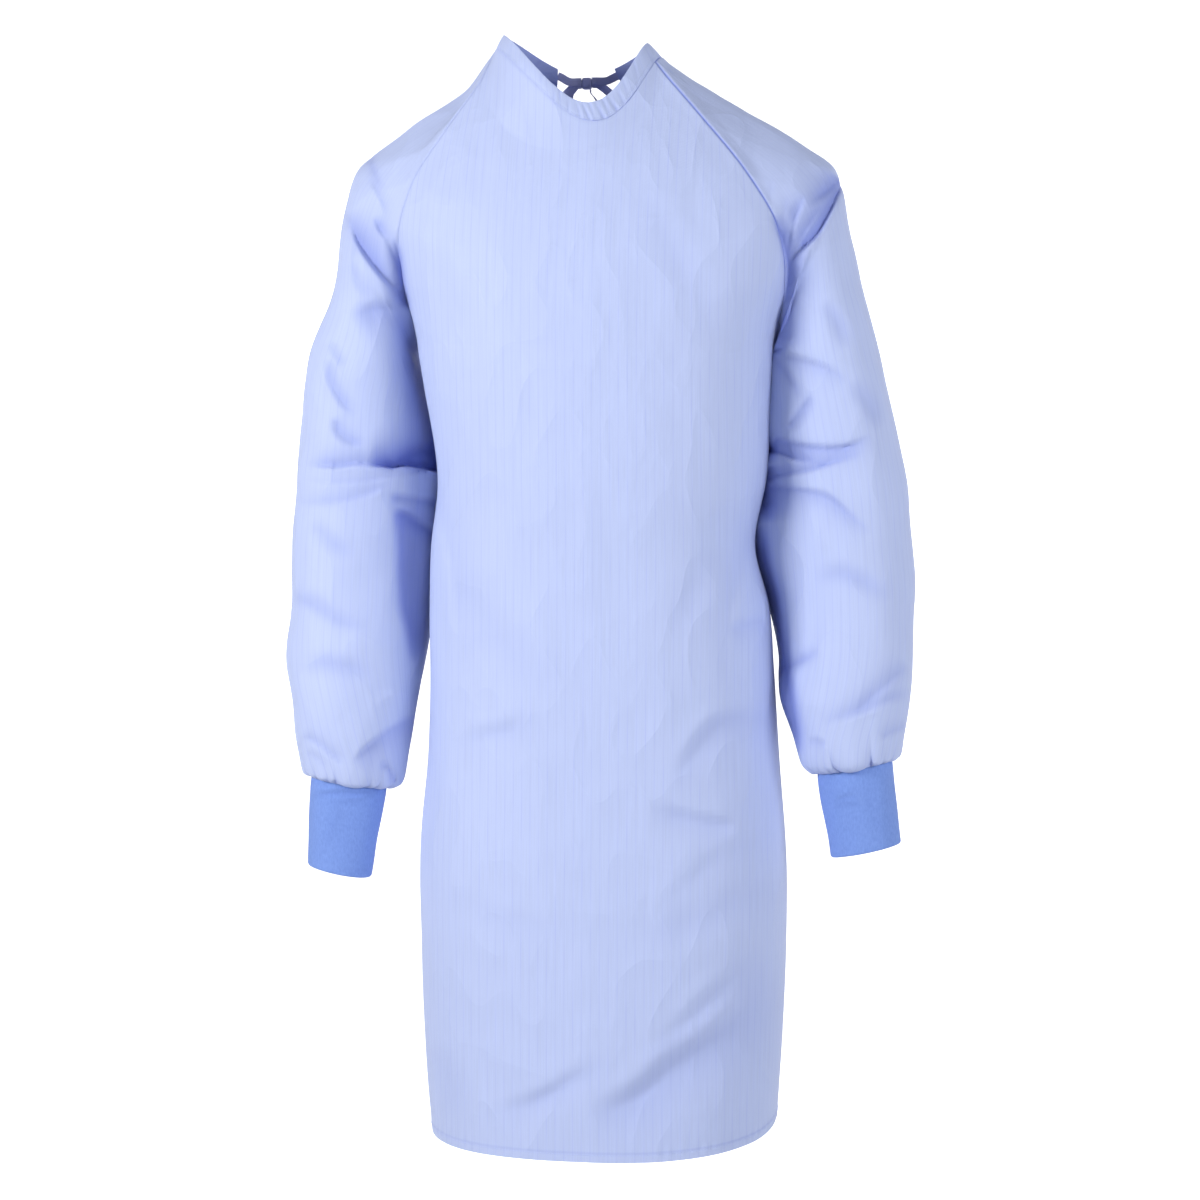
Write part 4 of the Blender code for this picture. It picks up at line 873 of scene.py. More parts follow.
SLEEVE_FOLDS = {
    -1: (
        (3.5, 4, 4, 1.2, 0, 0, 0.05, 0.6, ((362, 150), (369, 158), (374, 170), (381, 190))),
        (9.0, 15, 3.2, 1.25, -0.8, 0.4, 0.3, 0.1,
         ((346, 212), (351, 225), (357, 239), (369, 257), (383, 275), (396, 289), (405, 298), (416, 314))),
        (5.5, 9, 2.6, 1.25, -0.6, 0, 0.3, 0.2, ((372, 216), (378, 226), (387, 239), (396, 257), (404, 268))),
        (4.5, 6, 20, 1.7, 0.8, 0, 0.35, 0.0, ((350, 318), (369, 310), (387, 307), (398, 308), (416, 319))),
        (15.0, 5, 12, 1.5, 0, 0, 0.25, 0.0, ((413, 306), (420, 345), (427, 391), (435, 429), (441, 470))),
        (3.5, 8, 26, 2.2, 0, 0, 0.3, 0.0, ((412, 306), (420, 345), (427, 391), (435, 429), (441, 470))),
        (2.2, 4, 4, 1.3, -1.0, 0, 0.3, 0.3, ((329, 340), (336, 352), (346, 366))),
        (4.0, 7, 4, 1.3, -1.2, 0, 0.3, 0.3, ((326, 358), (332, 382), (342, 400), (356, 416))),
        (4.0, 7, 4, 1.3, -1.2, 0, 0.3, 0.3, ((333, 416), (340, 433), (349, 440), (366, 444))),
        (5.0, 9, 3, 1.2, -2.0, 0.8, 0.3, 0.1,
         ((306, 464), (322, 465), (340, 465), (355, 463), (375, 464), (392, 467))),
        (22.0, 14, 2.4, 1.15, -3.0, 2.0, 0.35, 0.0,
         ((368, 464), (380, 465), (392, 467), (402, 465), (422, 467), (446, 473))),
        (9.0, 9, 7, 1.5, 0, 0, 0.5, 0.0, ((392, 461), (408, 456), (424, 451), (444, 448))),
        (-1.6, 2.2, 2.2, 2.0, 0, 0, 0.3, 0.3, ((421, 447), (423, 455), (425, 465))),
        (1.6, 5, 2.2, 1.2, -0.5, 0, 0.4, 0.2, ((300, 478), (330, 482), (366, 480), (404, 474))),
        (2.4, 10, 3, 1.3, -0.8, 0, 0.4, 0.2, ((292, 500), (322, 503), (356, 497), (392, 484))),
        (2.0, 6, 2, 1.2, -0.6, 0, 0.3, 0.5, ((368, 176), (378, 192), (384, 206), (386, 222))),
        (1.4, 4, 1.8, 1.2, -0.4, 0, 0.3, 0.5, ((356, 232), (352, 252), (354, 276), (362, 296))),
        (5.0, 4, 7, 1.2, 1.2, 0, 0.15, 0.0, ((390, 497), (404, 499), (436, 503))),
        (6.0, 4, 8, 1.2, 1.2, 0, 0.15, 0.0, ((392, 514), (404, 516), (418, 524), (436, 536))),
        (9.0, 22, 4, 1.4, -0.8, 0, 0.12, 0.2,
         ((399, 505), (400, 521), (402, 562), (404, 602), (410, 633), (414, 664))),
        (2.6, 9, 6, 1.6, 0.8, 0, 0.3, 0.4, ((289, 590), (300, 599), (317, 609), (349, 624), (370, 628))),
        (-2.6, 6, 6, 1.8, 0, 0, 0.4, 0.2, ((372, 704), (386, 698), (406, 692))),
        (4.0, 3, 18, 1.6, 1.0, 0, 0.3, 0.2, ((352, 764), (368, 748), (386, 733), (406, 721), (418, 716))),
        (2.6, 6, 1.8, 1.15, -1.0, 0.4, 0.2, 0.2, ((301, 735), (314, 742), (324, 749), (343, 765))),
        (1.6, 3, 2, 1.2, -0.5, 0, 0.2, 0.2, ((306, 752), (316, 758), (326, 768))),
        (4.0, 3, 3, 1.3, 0.8, 0, 0.2, 0.0, ((380, 762), (388, 770), (394, 782))),
        (2.4, 9, 9, 1.7, 0.8, 0, 0.4, 0.4, ((300, 670), (322, 664), (350, 668), (376, 676))),
        (2.2, 8, 8, 1.7, 0.8, 0, 0.4, 0.4, ((310, 520), (328, 540), (356, 556))),
        (2.0, 7, 7, 1.7, 0.6, 0, 0.4, 0.4, ((352, 262), (362, 286), (376, 298))),
    ),
    1: (
        (6.0, 3, 7, 1.2, 0, 0, 0.05, 0.6, ((838, 180), (831, 187), (822, 194), (808, 206))),
        (11.0, 2.0, 14, 1.15, 0.6, 0.3, 0.1, 0.15,
         ((844, 178), (838, 190), (829, 212), (816, 235), (802, 248), (786, 264))),
        (3.0, 2, 6, 1.2, 0.5, 0, 0.3, 0.2, ((822, 204), (810, 222), (798, 240), (788, 256))),
        (3.0, 2, 6, 1.2, 0.5, 0, 0.4, 0.2, ((788, 196), (784, 218), (783, 240), (784, 258))),
        (1.8, 2, 6, 1.2, 0.3, 0, 0.4, 0.4, ((776, 178), (770, 196), (772, 214), (778, 230))),
        (5.0, 2.6, 8, 1.3, 0.4, 0, 0.3, 0.2, ((806, 192), (800, 205), (793, 220), (787, 250), (782, 268))),
        (10.0, 14, 8, 1.6, 0, 0, 0.2, 0.2, ((784, 262), (783, 290), (780, 320), (778, 350))),
        (8.0, 4, 3, 1.3, 0, 0, 0.0, 0.5, ((766, 352), (774, 351), (788, 349))),
        (3.2, 2.4, 9, 1.15, 0.5, 0, 0.1, 0.4, ((776, 354), (802, 360), (820, 365), (836, 373), (850, 384))),
        (3.0, 3, 8, 1.2, 0.6, 0, 0.1, 0.4, ((770, 354), (780, 366), (794, 387), (802, 398))),
        (3.6, 7, 4, 1.4, 1.0, 0, 0.3, 0.2, ((812, 394), (805, 404), (796, 416), (786, 430))),
        (5.0, 2.4, 9, 1.15, 0.8, 0.4, 0.05, 0.3,
         ((774, 438), (783, 441), (806, 446), (829, 448), (852, 445), (872, 434))),
        (22.0, 7, 8, 1.5, 0, 0, 0.0, 0.55, ((752, 449), (764, 449), (780, 451))),
        (8.0, 8, 2.4, 1.15, -1.4, 0.8, 0.0, 0.6, ((756, 446), (778, 452), (800, 459), (822, 461))),
        (-1.8, 3, 3, 2.0, 0, 0, 0.1, 0.4, ((762, 456), (780, 459), (806, 464))),
        (15.0, 13, 10, 1.5, 0, 0, 0.1, 0.4, ((760, 466), (762, 480), (764, 500), (767, 524))),
        (5.0, 8, 2.4, 1.15, -1.0, 0.4, 0.05, 0.4,
         ((766, 479), (780, 475), (811, 469), (836, 461), (864, 454))),
        (4.5, 2.4, 10, 1.15, 0.8, 0, 0.05, 0.4,
         ((768, 487), (781, 488), (806, 491), (829, 497), (847, 512), (872, 534))),
        (13.0, 4, 18, 1.3, 0.8, 0, 0.15, 0.15,
         ((762, 524), (768, 560), (776, 600), (780, 625), (790, 681), (797, 725), (801, 757))),
        (4.5, 7, 4, 1.3, 1.2, 0, 0.0, 0.4, ((772, 680), (781, 673), (806, 658), (820, 650))),
        (2.6, 11, 5, 1.5, -0.8, 0, 0.4, 0.2, ((848, 714), (862, 706), (882, 688), (908, 664))),
        (2.2, 3, 6, 1.3, 0.8, 0, 0.2, 0.2, ((808, 742), (816, 741), (826, 745))),
        (2.2, 6, 2.4, 1.3, -0.8, 0, 0.3, 0.1, ((880, 740), (890, 732), (904, 726))),
        (2.6, 10, 4, 1.5, -0.8, 0, 0.3, 0.2, ((822, 726), (834, 719), (862, 710), (893, 698), (908, 692))),
        (2.4, 9, 9, 1.8, 0.8, 0, 0.4, 0.4, ((812, 580), (838, 574), (868, 584), (890, 600))),
        (2.2, 8, 8, 1.8, 0.6, 0, 0.4, 0.4, ((820, 300), (836, 320), (846, 350))),
        (2.2, 9, 9, 1.8, 0.6, 0, 0.4, 0.4, ((850, 380), (866, 400), (880, 430))),
    ),
}
SLEEVE_BACK_FOLDS = {
    -1: (
        (8.0, 12, 12, 1.6, 2.5, 0, 0.2, 0.2, ((-262, 130), (-240, 160), (-205, 212))),
        (4.0, 8, 8, 1.6, 1.2, 0, 0.3, 0.3, ((-272, 190), (-248, 226), (-214, 250))),
        (8.0, 9, 11, 1.4, 2.5, 0, 0.2, 0.1, ((-312, 372), (-270, 384), (-230, 396), (-188, 404))),
        (5.0, 10, 10, 1.6, 1.5, 0, 0.3, 0.3, ((-306, 440), (-262, 426), (-212, 424))),
        (3.5, 10, 10, 1.8, 1.0, 0, 0.3, 0.3, ((-300, 310), (-262, 330), (-220, 330))),
        (4.0, 13, 13, 1.9, 1.0, 0, 0.3, 0.3, ((-312, 600), (-268, 586), (-226, 560))),
        (3.0, 10, 10, 1.9, 1.0, 0, 0.3, 0.3, ((-300, 668), (-264, 652), (-232, 640))),
    ),
    1: (
        (8.0, 12, 12, 1.6, 2.5, 0, 0.2, 0.2, ((256, 130), (234, 164), (202, 210))),
        (4.0, 8, 8, 1.6, 1.2, 0, 0.3, 0.3, ((264, 196), (240, 226), (208, 252))),
        (8.0, 9, 11, 1.4, 2.5, 0, 0.2, 0.1, ((310, 384), (266, 390), (232, 396), (190, 400))),
        (5.0, 10, 10, 1.6, 1.5, 0, 0.3, 0.3, ((302, 424), (262, 436), (218, 456))),
        (3.5, 10, 10, 1.8, 1.0, 0, 0.3, 0.3, ((292, 300), (256, 320), (212, 332))),
        (4.0, 13, 13, 1.9, 1.0, 0, 0.3, 0.3, ((314, 574), (270, 588), (238, 606))),
        (3.0, 10, 10, 1.9, 1.0, 0, 0.3, 0.3, ((304, 640), (270, 628), (240, 616))),
    ),
}
SLEEVE_FREE = 26       # the folds of a sleeve are at their full height this far from its raglan seams
SLEEVE_RELIEF = {-1: 0.6, 1: 1.1}  # how high it stands beside them
UNDERARM_RELIEF = 0.4
UNDERARM_FREE = 40     # its unevenness is at its full height this far from the underarm seam
END_FREE = 6           # and its folds and unevenness this far from its end
SLEEVE_BUMPS = ((80, 0.8, 1.3), (34, 0.2, 1.2))
NEAR_TOP = (0, 0.03, 0.07, 0.12, 0.18)  # the places of the first rings, close to the top edge
SPACED_FROM = 0.2      # the others are evenly spaced from here on
# The gathers at the cuff: where each notch is round the sleeve in degrees, how far the cloth hangs over the
# cuff and stands out between it and the next, and how far up the sleeve it runs. Between two notches the
# cloth bulges; a bulge is full, with narrow notches beside it, where its power is below 1.
BULGE_POWER = 0.6
BULGE_MEAN = 0.45      # where a bulge crosses the smooth sleeve,
HANG_MEAN = 0.35       # and where its end crosses the smooth end
LEVEL = (1, 1, 0.2)    # it bulges mostly level
END_HELD = 5           # the seam to the cuff holds the last of the sleeve in,
HANG_HELD = 4          # and up, this far above it
HANG_REACH = 16        # the end hangs lower over this length
RUN_POWER = 1.6        # how suddenly a bulge ends
# the shade painted in a notch: how dark at most,
NOTCH_DARK = 0.8
NOTCH_RUNS = 0.5       # that painted shade runs up this share of its bulge,
NOTCH_POWER = 1.5      # and ends this suddenly
GATHER_COLUMNS = ("angle", "hangs", "stands", "runs")
GATHERS = {
    -1: (
        (6, 2, 3, 18), (34, 1.5, 2, 14), (52, 2, 3, 20), (71, 1, 1.6, 10), (80, 6, 4.5, 26),
        (124, 1.5, 2, 14), (133, 2.5, 3, 22), (156, 3.5, 4, 26), (192, 3, 3.5, 22), (214, 1.5, 2, 14),
        (228, 4, 4, 26),
        (262, 2, 3, 18), (281, 1.5, 2, 14), (298, 4, 4, 24), (334, 2.5, 3, 18),
    ),
    1: (
        (12, 2, 2.6, 16), (33, 1.2, 1.8, 12), (46, 2, 3, 20), (63, 6, 4.5, 28), (110, 1.5, 2, 14),
        (120, 2, 2.6, 16), (132, 1.2, 1.8, 12), (150, 3.5, 4, 26), (188, 3, 3, 20), (206, 1.5, 2, 14),
        (224, 4, 4, 26), (260, 2, 3, 18), (279, 1.5, 2, 14), (300, 4, 4, 24), (336, 2.5, 3, 18),
    ),
}


def sleeve_loop(side):
    """A sleeve's top edge: from the underarm up the front raglan seam, round the neck and down the back
    seam. Gives its points, the way the cloth crosses it, and their angles on the shoulder."""
    places = [UNDERARM_ROW * step / YOKE_STEPS for step in range(YOKE_STEPS, 0, -1)]
    edge = [front_points(place, (side, side * (1 - NEAR_SEAM))) for place in places]
    shares = np.linspace(0, 1, NECK_STEPS + 1)
    angles = side * (FRONT_SEAM_ANGLE[side] + (BACK_SEAM_ANGLE - FRONT_SEAM_ANGLE[side]) * shares)
    edge += list(np.stack((neck_point(angles, 0), neck_point(angles, 1)), axis=1))
    edge += [back_points(place, side, (0, NEAR_SEAM)) for place in places[:0:-1]]
    edge = np.array(edge)
    up_front = np.interp(places, range(UNDERARM_ROW + 1), SEAM_ROW_ANGLE)
    turns = np.concatenate((up_front, SEAM_ROW_ANGLE[0] * (1 - 2 * shares), -up_front[:0:-1]))
    return edge[:, 0], edge[:, 0] - edge[:, 1], turns


def ring_points(row, angle):
    """Points of a sleeve or cuff ring: 0 degrees is its outer side, 90 its front, 180 its inner side."""
    turn = np.radians(np.asarray(angle, float))[..., None]
    outer, inner = np.array(row[:3], float), np.array(row[3:6], float)
    forward = np.array((0, -row[6], 0))
    return (outer + inner) / 2 + (outer - inner) / 2 * np.cos(turn) + forward * np.sin(turn)


def sleeve_rings(side):
    """Rings of points of a sleeve, from its top edge to its end on the cuff, and their even angles."""
    seam, crossing, turns = sleeve_loop(side)
    along_seam = unit(np.roll(seam, -1, axis=0) - np.roll(seam, 1, axis=0))
    across_seam = unit(crossing - along_seam * np.sum(crossing * along_seam, axis=1, keepdims=True))
    even = 180 - 360 * np.arange(len(seam)) / len(seam)
    knots = [
        ring_points(row, turns + (even - turns) * min(number / EVEN_ROW, 1))
        for number, row in enumerate(SLEEVES[side])
    ]
    near_arm = ((np.abs(turns) / 180) ** 2)[:, None]
    leaving = unit(across_seam * (1 - near_arm) + unit(knots[0] - seam) * near_arm) * SEAM_REACH
    base = seam + (knots[0] - seam) * NECK_BASE
    base[:, 2] -= NECK_BASE_SAG[side] * np.maximum(1 - (turns / NECK_BASE_SPREAD) ** 2, 0)
    knots = np.array([seam, base, *knots])
    places = [*NEAR_TOP]
    for number, steps in enumerate(SLEEVE_RINGS):
        even_places = [number + (step + 1) / steps for step in range(steps)]
        places += [place for place in even_places if place > SPACED_FROM]
    return np.array([smooth_at(knots, place, leaving) for place in places]), even


def gathered(rings, even, side):
    """Bunches a sleeve's end between its gathers and hangs it over the cuff, and gives the shade painted in
    its notches."""
    gathers = [dict(zip(GATHER_COLUMNS, row)) for row in GATHERS[side]]
    starts = np.array([gather["angle"] for gather in gathers] + [gathers[0]["angle"] + 360])
    turned = (even - starts[0]) % 360 + starts[0]
    which = np.clip(np.searchsorted(starts, turned, side="right") - 1, 0, len(gathers) - 1)
    share = (turned - starts[which]) / (starts[which + 1] - starts[which])
    bulge = np.sin(math.pi * share) ** BULGE_POWER
    hangs, stands, runs = (
        np.array([gather[name] for gather in gathers])[which] for name in GATHER_COLUMNS[1:]
    )
    up = walked_down(rings[::-1])[::-1]
    fade = np.clip(up / END_HELD, 0, 1) * np.exp(-((up / runs) ** RUN_POWER))
    outward = unit((rings - rings.mean(axis=1, keepdims=True)) * LEVEL)
    moved = rings + outward * ((bulge - BULGE_MEAN) * stands * fade)[..., None]
    moved[..., 2] -= (bulge - HANG_MEAN) * hangs * np.clip(up / HANG_HELD, 0, 1) * bell(up, HANG_REACH)
    return moved, (1 - bulge) ** 2 * NOTCH_DARK * np.exp(-((up / (NOTCH_RUNS * runs)) ** NOTCH_POWER))


sleeve_ends = {}
for side, name in ((-1, "left"), (1, "right")):
    smooth, even = sleeve_rings(side)
    rings, notches = gathered(smooth, even, side)
    outward = normals_of(rings, True) * -side
    sleeve_uv = measured(np.concatenate((rings, rings[:, :1]), axis=1), YOKE_STEPS + NECK_STEPS // 2)
    seam_away, end_away = away_from(rings, rings[:1]), away_from(rings, rings[-1:])
    under = away_from(rings, rings[:, :1])
    free = np.clip(seam_away / SLEEVE_FREE, 0, 1) * np.clip(end_away / END_FREE, 0, 1)
    folded, front_creases = press(rings, SLEEVE_FOLDS[side], in_photo, to_camera, FRONT_OF)
    folded, back_creases = press(folded, SLEEVE_BACK_FOLDS[side], in_front, BACK_UP, FRONT_OF)
    lift = bumps_of(rings, (50 + side, 60 + side), SLEEVE_BUMPS) * free
    lift *= np.clip(under / UNDERARM_FREE, 0, 1)
    lift += seam_relief(seam_away, SLEEVE_RELIEF[side]) + seam_relief(under, UNDERARM_RELIEF)
    rings = rings + (folded - rings) * free[..., None] + outward * lift[..., None]
    rings, armpit_creases = press(rings, ARMPIT_FOLDS[side], in_photo, to_camera, FRONT_OF)
    # Painted shade: its folds, the notches of its gathers and its raglan seams darken its colour.
    creases = np.maximum.reduce((
        front_creases * free, BACK_DARK * back_creases * free, armpit_creases, notches,
        SEAM_DARK[side][0] * bell(seam_away, SEAM_THIN),
    ))
    outward = normals_of(rings, True) * -side
    inner = wrong_side(rings, outward, np.minimum(seam_away, end_away))
    piece = shell(f"sleeve_cloth_{name}", rings, inner, sleeve_uv, blue_cloth, outward=-side, closed=True,
                  creases=creases)
    sewn(piece, f"sleeve_{name}")
    sleeve_ends[side] = rings[-1]

# ---------------------------------------------------------------------------------------------------
# The cuffs: tubes of fine polyester interlock knit, folded double and sewn into the gathered sleeve ends.
# The knit is darker than the cloth, matt and soft, with its fold as the open end.

CUFFS = {  # the edge inside the sleeve's end, then two rings down to the open end
    -1: (
        (-299, -34, -696, -226, -32, -708, 32),
        (-306, -34, -754, -232, -32, -766, 33),
        (-306, -34, -798, -240, -32, -812, 30),
    ),
    1: (
        (304, -34, -670, 234, -32, -686, 32),
        (313, -34, -726, 238, -32, -741, 33),
        (316, -34, -764, 246, -32, -780, 30),
    ),
}
CUFF_RINGS = 56
CUFF_THICK = 2.0       # both layers
CUFF_FOLD = 1.6        # how far the fold at the open end is rounded
SEAT_DEPTH = 1.2       # the knit is sewn in this far inside the sleeve's edge
SEAT_DARK = (0.5, 4)   # the shade under that edge
SEAT_FREE = 8          # its lift is at its full height this far below
CUFF_FRONT_OF = -20    # its folds lie in front of this
CUFF_DARK = 2          # and their painted shade is this dark beside the cloth's of the same depth
CUFF_PUFF = (0.5, 14)  # how far its layers puff out at the open end, and over what height
CUFF_BUMPS = ((34, 0.35, 1.5),)
CUFF_BLUE = "#83A1E6"
CUFF_SHADE = "#6E8CD5"
# the deeper blue painted into its creases as shade
CUFF_CREASE_SHADE = "#4F69B4"
FUZZ = (0.5, 0.2)      # grains of its fuzz to a millimetre, across and down
CUFF_CREASE_SHADE_MOST = 0.8        # the share of that painted shade in its darkest crease
LOOP = 1.1             # the knit is drawn at this size, about twice as coarse as the real stitches
LOOP_HIGH = LOOP / 1.3
LOOP_RISE = 0.5        # its rows are this deep beside its columns,
LOOP_SHADE = 0.12      # and its loops this dark beside its fuzz
CUFF_CREASES = {
    -1: (
        (1.2, 2.5, 4, 1.4, 0.5, 0, 0.2, 0.2, ((311, 796), (330, 793), (360, 794), (384, 792))),
        (0.7, 2, 3, 1.4, 0.3, 0, 0.3, 0.3, ((322, 801), (346, 802), (372, 800))),
        (0.5, 6, 6, 1.8, 0.3, 0, 0.3, 0.3, ((322, 850), (336, 826), (340, 800))),
    ),
    1: (
        (1.0, 2, 4, 1.3, 0.5, 0, 0.3, 0.3, ((834, 801), (844, 797), (856, 794))),
        (0.8, 2, 4, 1.3, 0.4, 0, 0.3, 0.3, ((832, 807), (846, 805), (862, 806))),
        (0.5, 6, 6, 1.8, 0.3, 0, 0.3, 0.3, ((884, 836), (872, 810), (868, 780))),
    ),
}



def knit(name):
    """Fine interlock knit: soft matt yarn in upright columns of loops, a little fuzzy, darker between."""
    material, tree, shader = new_material(name, Roughness=0.88, Specular_IOR_Level=0.2, Sheen_Weight=0.35,
                                          Sheen_Roughness=0.5, Sheen_Tint=linear("#B9CBFF"))
    across, down = place = on_cloth(tree)
    fuzz = noise(tree, place, FUZZ, 4.0, 0.7)
    loops = maths(tree, "MULTIPLY", wave(tree, down, LOOP_HIGH), LOOP_RISE)
    loops = maths(tree, "ADD", wave(tree, across, LOOP), loops)
    tone = maths(tree, "ADD", maths(tree, "MULTIPLY", loops, LOOP_SHADE), fuzz)
    colour = mixed(tree, ranged(tree, tone, NOISE_SPAN, (0.0, 1.0)), CUFF_SHADE, CUFF_BLUE)
    # Painted shade: the knit's colour turns deeper blue in the creases of the mesh.
    tree.links.new(painted_crease_shade(tree, colour, CUFF_CREASE_SHADE, CUFF_CREASE_SHADE_MOST), shader.inputs["Base Color"])
    height = maths(tree, "ADD", loops, fuzz)
    bump = add(tree, "ShaderNodeBump", Strength=0.5, Distance=0.2 * MM, Height=height)
    tree.links.new(bump.outputs[0], shader.inputs["Normal"])
    return material


blue_knit = knit("interlock_knit")
for side, name in ((-1, "left"), (1, "right")):
    end = sleeve_ends[side]
    even = 180 - 360 * np.arange(len(end)) / len(end)
    top, *lower = (ring_points(row, even) for row in CUFFS[side])
    knots = np.array([top, end + unit(end.mean(axis=0) - end) * SEAT_DEPTH, *lower])
    places = np.concatenate(([0, 0.5], np.linspace(1, 3, CUFF_RINGS)))
    rings = np.array([smooth_at(knots, place) for place in places])
    outward = unit(rings - rings.mean(axis=1, keepdims=True))
    below = away_from(rings, rings[-1:])
    cuff_uv = measured(np.concatenate((rings, rings[:, :1]), axis=1), len(end) // 2)
    rings, cuff_creases = press(rings, CUFF_CREASES[side], in_photo, to_camera, CUFF_FRONT_OF)
    seat_away = away_from(rings, rings[1:2])
    # Painted shade in its creases and under the sleeve's edge.
    cuff_creases = np.maximum(CUFF_DARK * cuff_creases, line_of(seat_away, SEAT_DARK))
    # The fold at the open end turns inwards; above it the two layers puff out a little.
    turned_in = 1 - np.sqrt(np.clip(1 - (1 - np.clip(below / CUFF_FOLD, 0, 1)) ** 2, 0, 1))
    lift = bumps_of(rings, (70 + side,), CUFF_BUMPS) - turned_in * CUFF_THICK / 2 + line_of(below, CUFF_PUFF)
    rings = rings + outward * (lift * np.clip(seat_away / SEAT_FREE, 0, 1))[..., None]
    inner = rings - outward * (CUFF_THICK * (1 - turned_in))[..., None]
    piece = shell(f"cuff_knit_{name}", rings, inner, cuff_uv, blue_knit, outward=-side, closed=True,
                  creases=np.clip(cuff_creases, 0, 1))
    sewn(piece, f"cuff_{name}")

# ---------------------------------------------------------------------------------------------------
# The neck band: a bias strip of the same cloth, folded over the neckline and stitched through, slightly
# puckered where the curve is tight. Its back ends run on into the ties.

BAND_STEPS = 340
BAND_RINGS = 22
BAND_THICK = 2.2
BAND_PROUD = 0.7       # its outer side stands this far over the neckline ring
BAND_BASE = 0.5        # and its edges this far
BAND_EDGES = 0.35      # the share of its inner thickness that is left at its edges
CROWN_POWER = 0.5      # how full its rounding is
BAND_STITCHED = 0.16   # its stitches run this share of the way up, and draw it in this far and wide
BAND_DRAWN_IN = (0.3, 0.05)
BAND_STITCH_APART = 2.8
BAND_STITCH = (2.0, 0.6, 0.5)
BAND_BUMPS = ((30, 0.25),)
# how dark the shade painted in a tuck is
TUCK_DARK = 0.28
TUCK_POWER = 1.5       # how a tuck fades over the band's height
TUCK_LIP = (0.5, 3, 2.4)  # beside it the cloth stands up by this share of its depth, so far away, so wide
TUCK_INSIDE = 0.4      # the share of it on the inside
# the shade painted along its seam to the neckline: how dark, and half its width as a share of its height
BAND_SEAM_DARK = (0.22, 0.05)
TUCK_COLUMNS = ("along", "depth", "width", "slant", "from_edge")
# The puckers of the binding: millimetres along it from its middle, and how far each slants over its height;
# from_edge is 0 where it starts at the seam and 1 where it starts at the top edge.
TUCKS = (
    (-236, 0.9, 2.2, -4, 0), (-219, 0.7, 3.0, 4, 1), (-204, 0.8, 2.4, -3, 0), (-176, 0.5, 3.0, 3, 1),
    (-150, 0.5, 2.6, 3, 0), (-118, 0.5, 2.4, -3, 0), (-92, 0.4, 3.4, 3, 0), (-60, 0.4, 2.4, 4, 0),
    (-37, 0.5, 2.6, 5, 1), (-16, 0.7, 2.2, 3, 0), (-9, 0.5, 1.6, 1, 1), (2, 0.6, 1.9, 2, 0),
    (13, 0.8, 1.7, -1, 0), (21, 1.1, 1.9, -3, 0), (27, 0.6, 1.5, -2, 1), (35, 1.1, 2.1, -4, 0),
    (43, 0.7, 1.6, -3, 1), (51, 1.0, 2.3, -5, 0), (63, 0.7, 2.2, -4, 0), (74, 0.4, 2.0, -3, 1),
    (96, 0.5, 2.8, 2, 1), (128, 0.5, 2.6, -3, 0), (163, 0.6, 2.4, 3, 1), (198, 0.9, 2.4, 3, 0),
    (214, 0.6, 2.6, -3, 1), (233, 0.8, 2.2, 4, 0),
)

heights = np.linspace(0, 1, BAND_RINGS)[:, None]
band = neck_point(np.linspace(-BACK_EDGE_ANGLE, BACK_EDGE_ANGLE, BAND_STEPS)[None, :], heights)
band_uv = measured(band, BAND_STEPS // 2)
band_out = normals_of(band, False)
crown = np.sin(math.pi * heights) ** CROWN_POWER
lip, lip_at, lip_wide = TUCK_LIP
# The band's painted shade starts along its seam.
tucks, band_creases = np.zeros(band.shape[:2]), line_of(heights, BAND_SEAM_DARK)
for row in TUCKS:
    tuck = dict(zip(TUCK_COLUMNS, row))
    away = band_uv[..., 0] - tuck["along"] - tuck["slant"] * (heights - 0.5) * 2
    reach = 1 - np.abs(heights - tuck["from_edge"]) ** TUCK_POWER
    tucks -= tuck["depth"] * reach * (bell(away, tuck["width"]) - lip * bell(away - lip_at, lip_wide))
    # painted shade in the tuck
    dark = TUCK_DARK * tuck["depth"] * reach * bell(away * 1.3, tuck["width"])
    band_creases = np.maximum(band_creases, dark)
band_up = BAND_PROUD * crown + BAND_BASE + tucks + bumps_of(band, (90,), BAND_BUMPS)
band_up = band_up - line_of(heights - BAND_STITCHED, BAND_DRAWN_IN)
outer = band + band_out * band_up[..., None]
band_down = (BAND_THICK - BAND_PROUD) * (BAND_EDGES + (1 - BAND_EDGES) * crown)
band_down = band_down - np.minimum(tucks, 0) * TUCK_INSIDE
inner = band - band_out * band_down[..., None]
piece = shell("neck_binding", outer, inner, band_uv, blue_cloth, creases=band_creases)
sewn(piece, "neck_band")
row = (round(BAND_STITCHED * (BAND_RINGS - 1)), SEAM_ALLOWED)
stitch("stitches_neck", [outer[row]], [band_out[row]], BAND_STITCH_APART, BAND_STITCH)

# ---------------------------------------------------------------------------------------------------
# The neck ties: narrow tapes of the same cloth, folded and stitched, from the ends of the binding into a
# bow behind the neck: two strands, a knot, two loops and two free tails.

TIE_WIDTH = 8.5
TIE_THICK = 1.1        # folded double
TIE_EDGES = 0.55       # its folded edges are thinner by this share
TIE_BUMPS = ((14, 0.12),)
TIE_BLUE = "#A3A8D6"
KNOT = (-26, 84.5, 30)
KNOT_SIZE = (10.5, 9.5, 12.5)
KNOT_ROUND = 2.6
STRAND_RISE = 0.55     # a strand leaves the binding this share of the way up it
STRAND_START = 4       # goes straight on for this long,
STRAND_PROUD = 0.4     # and lies this far over the ring
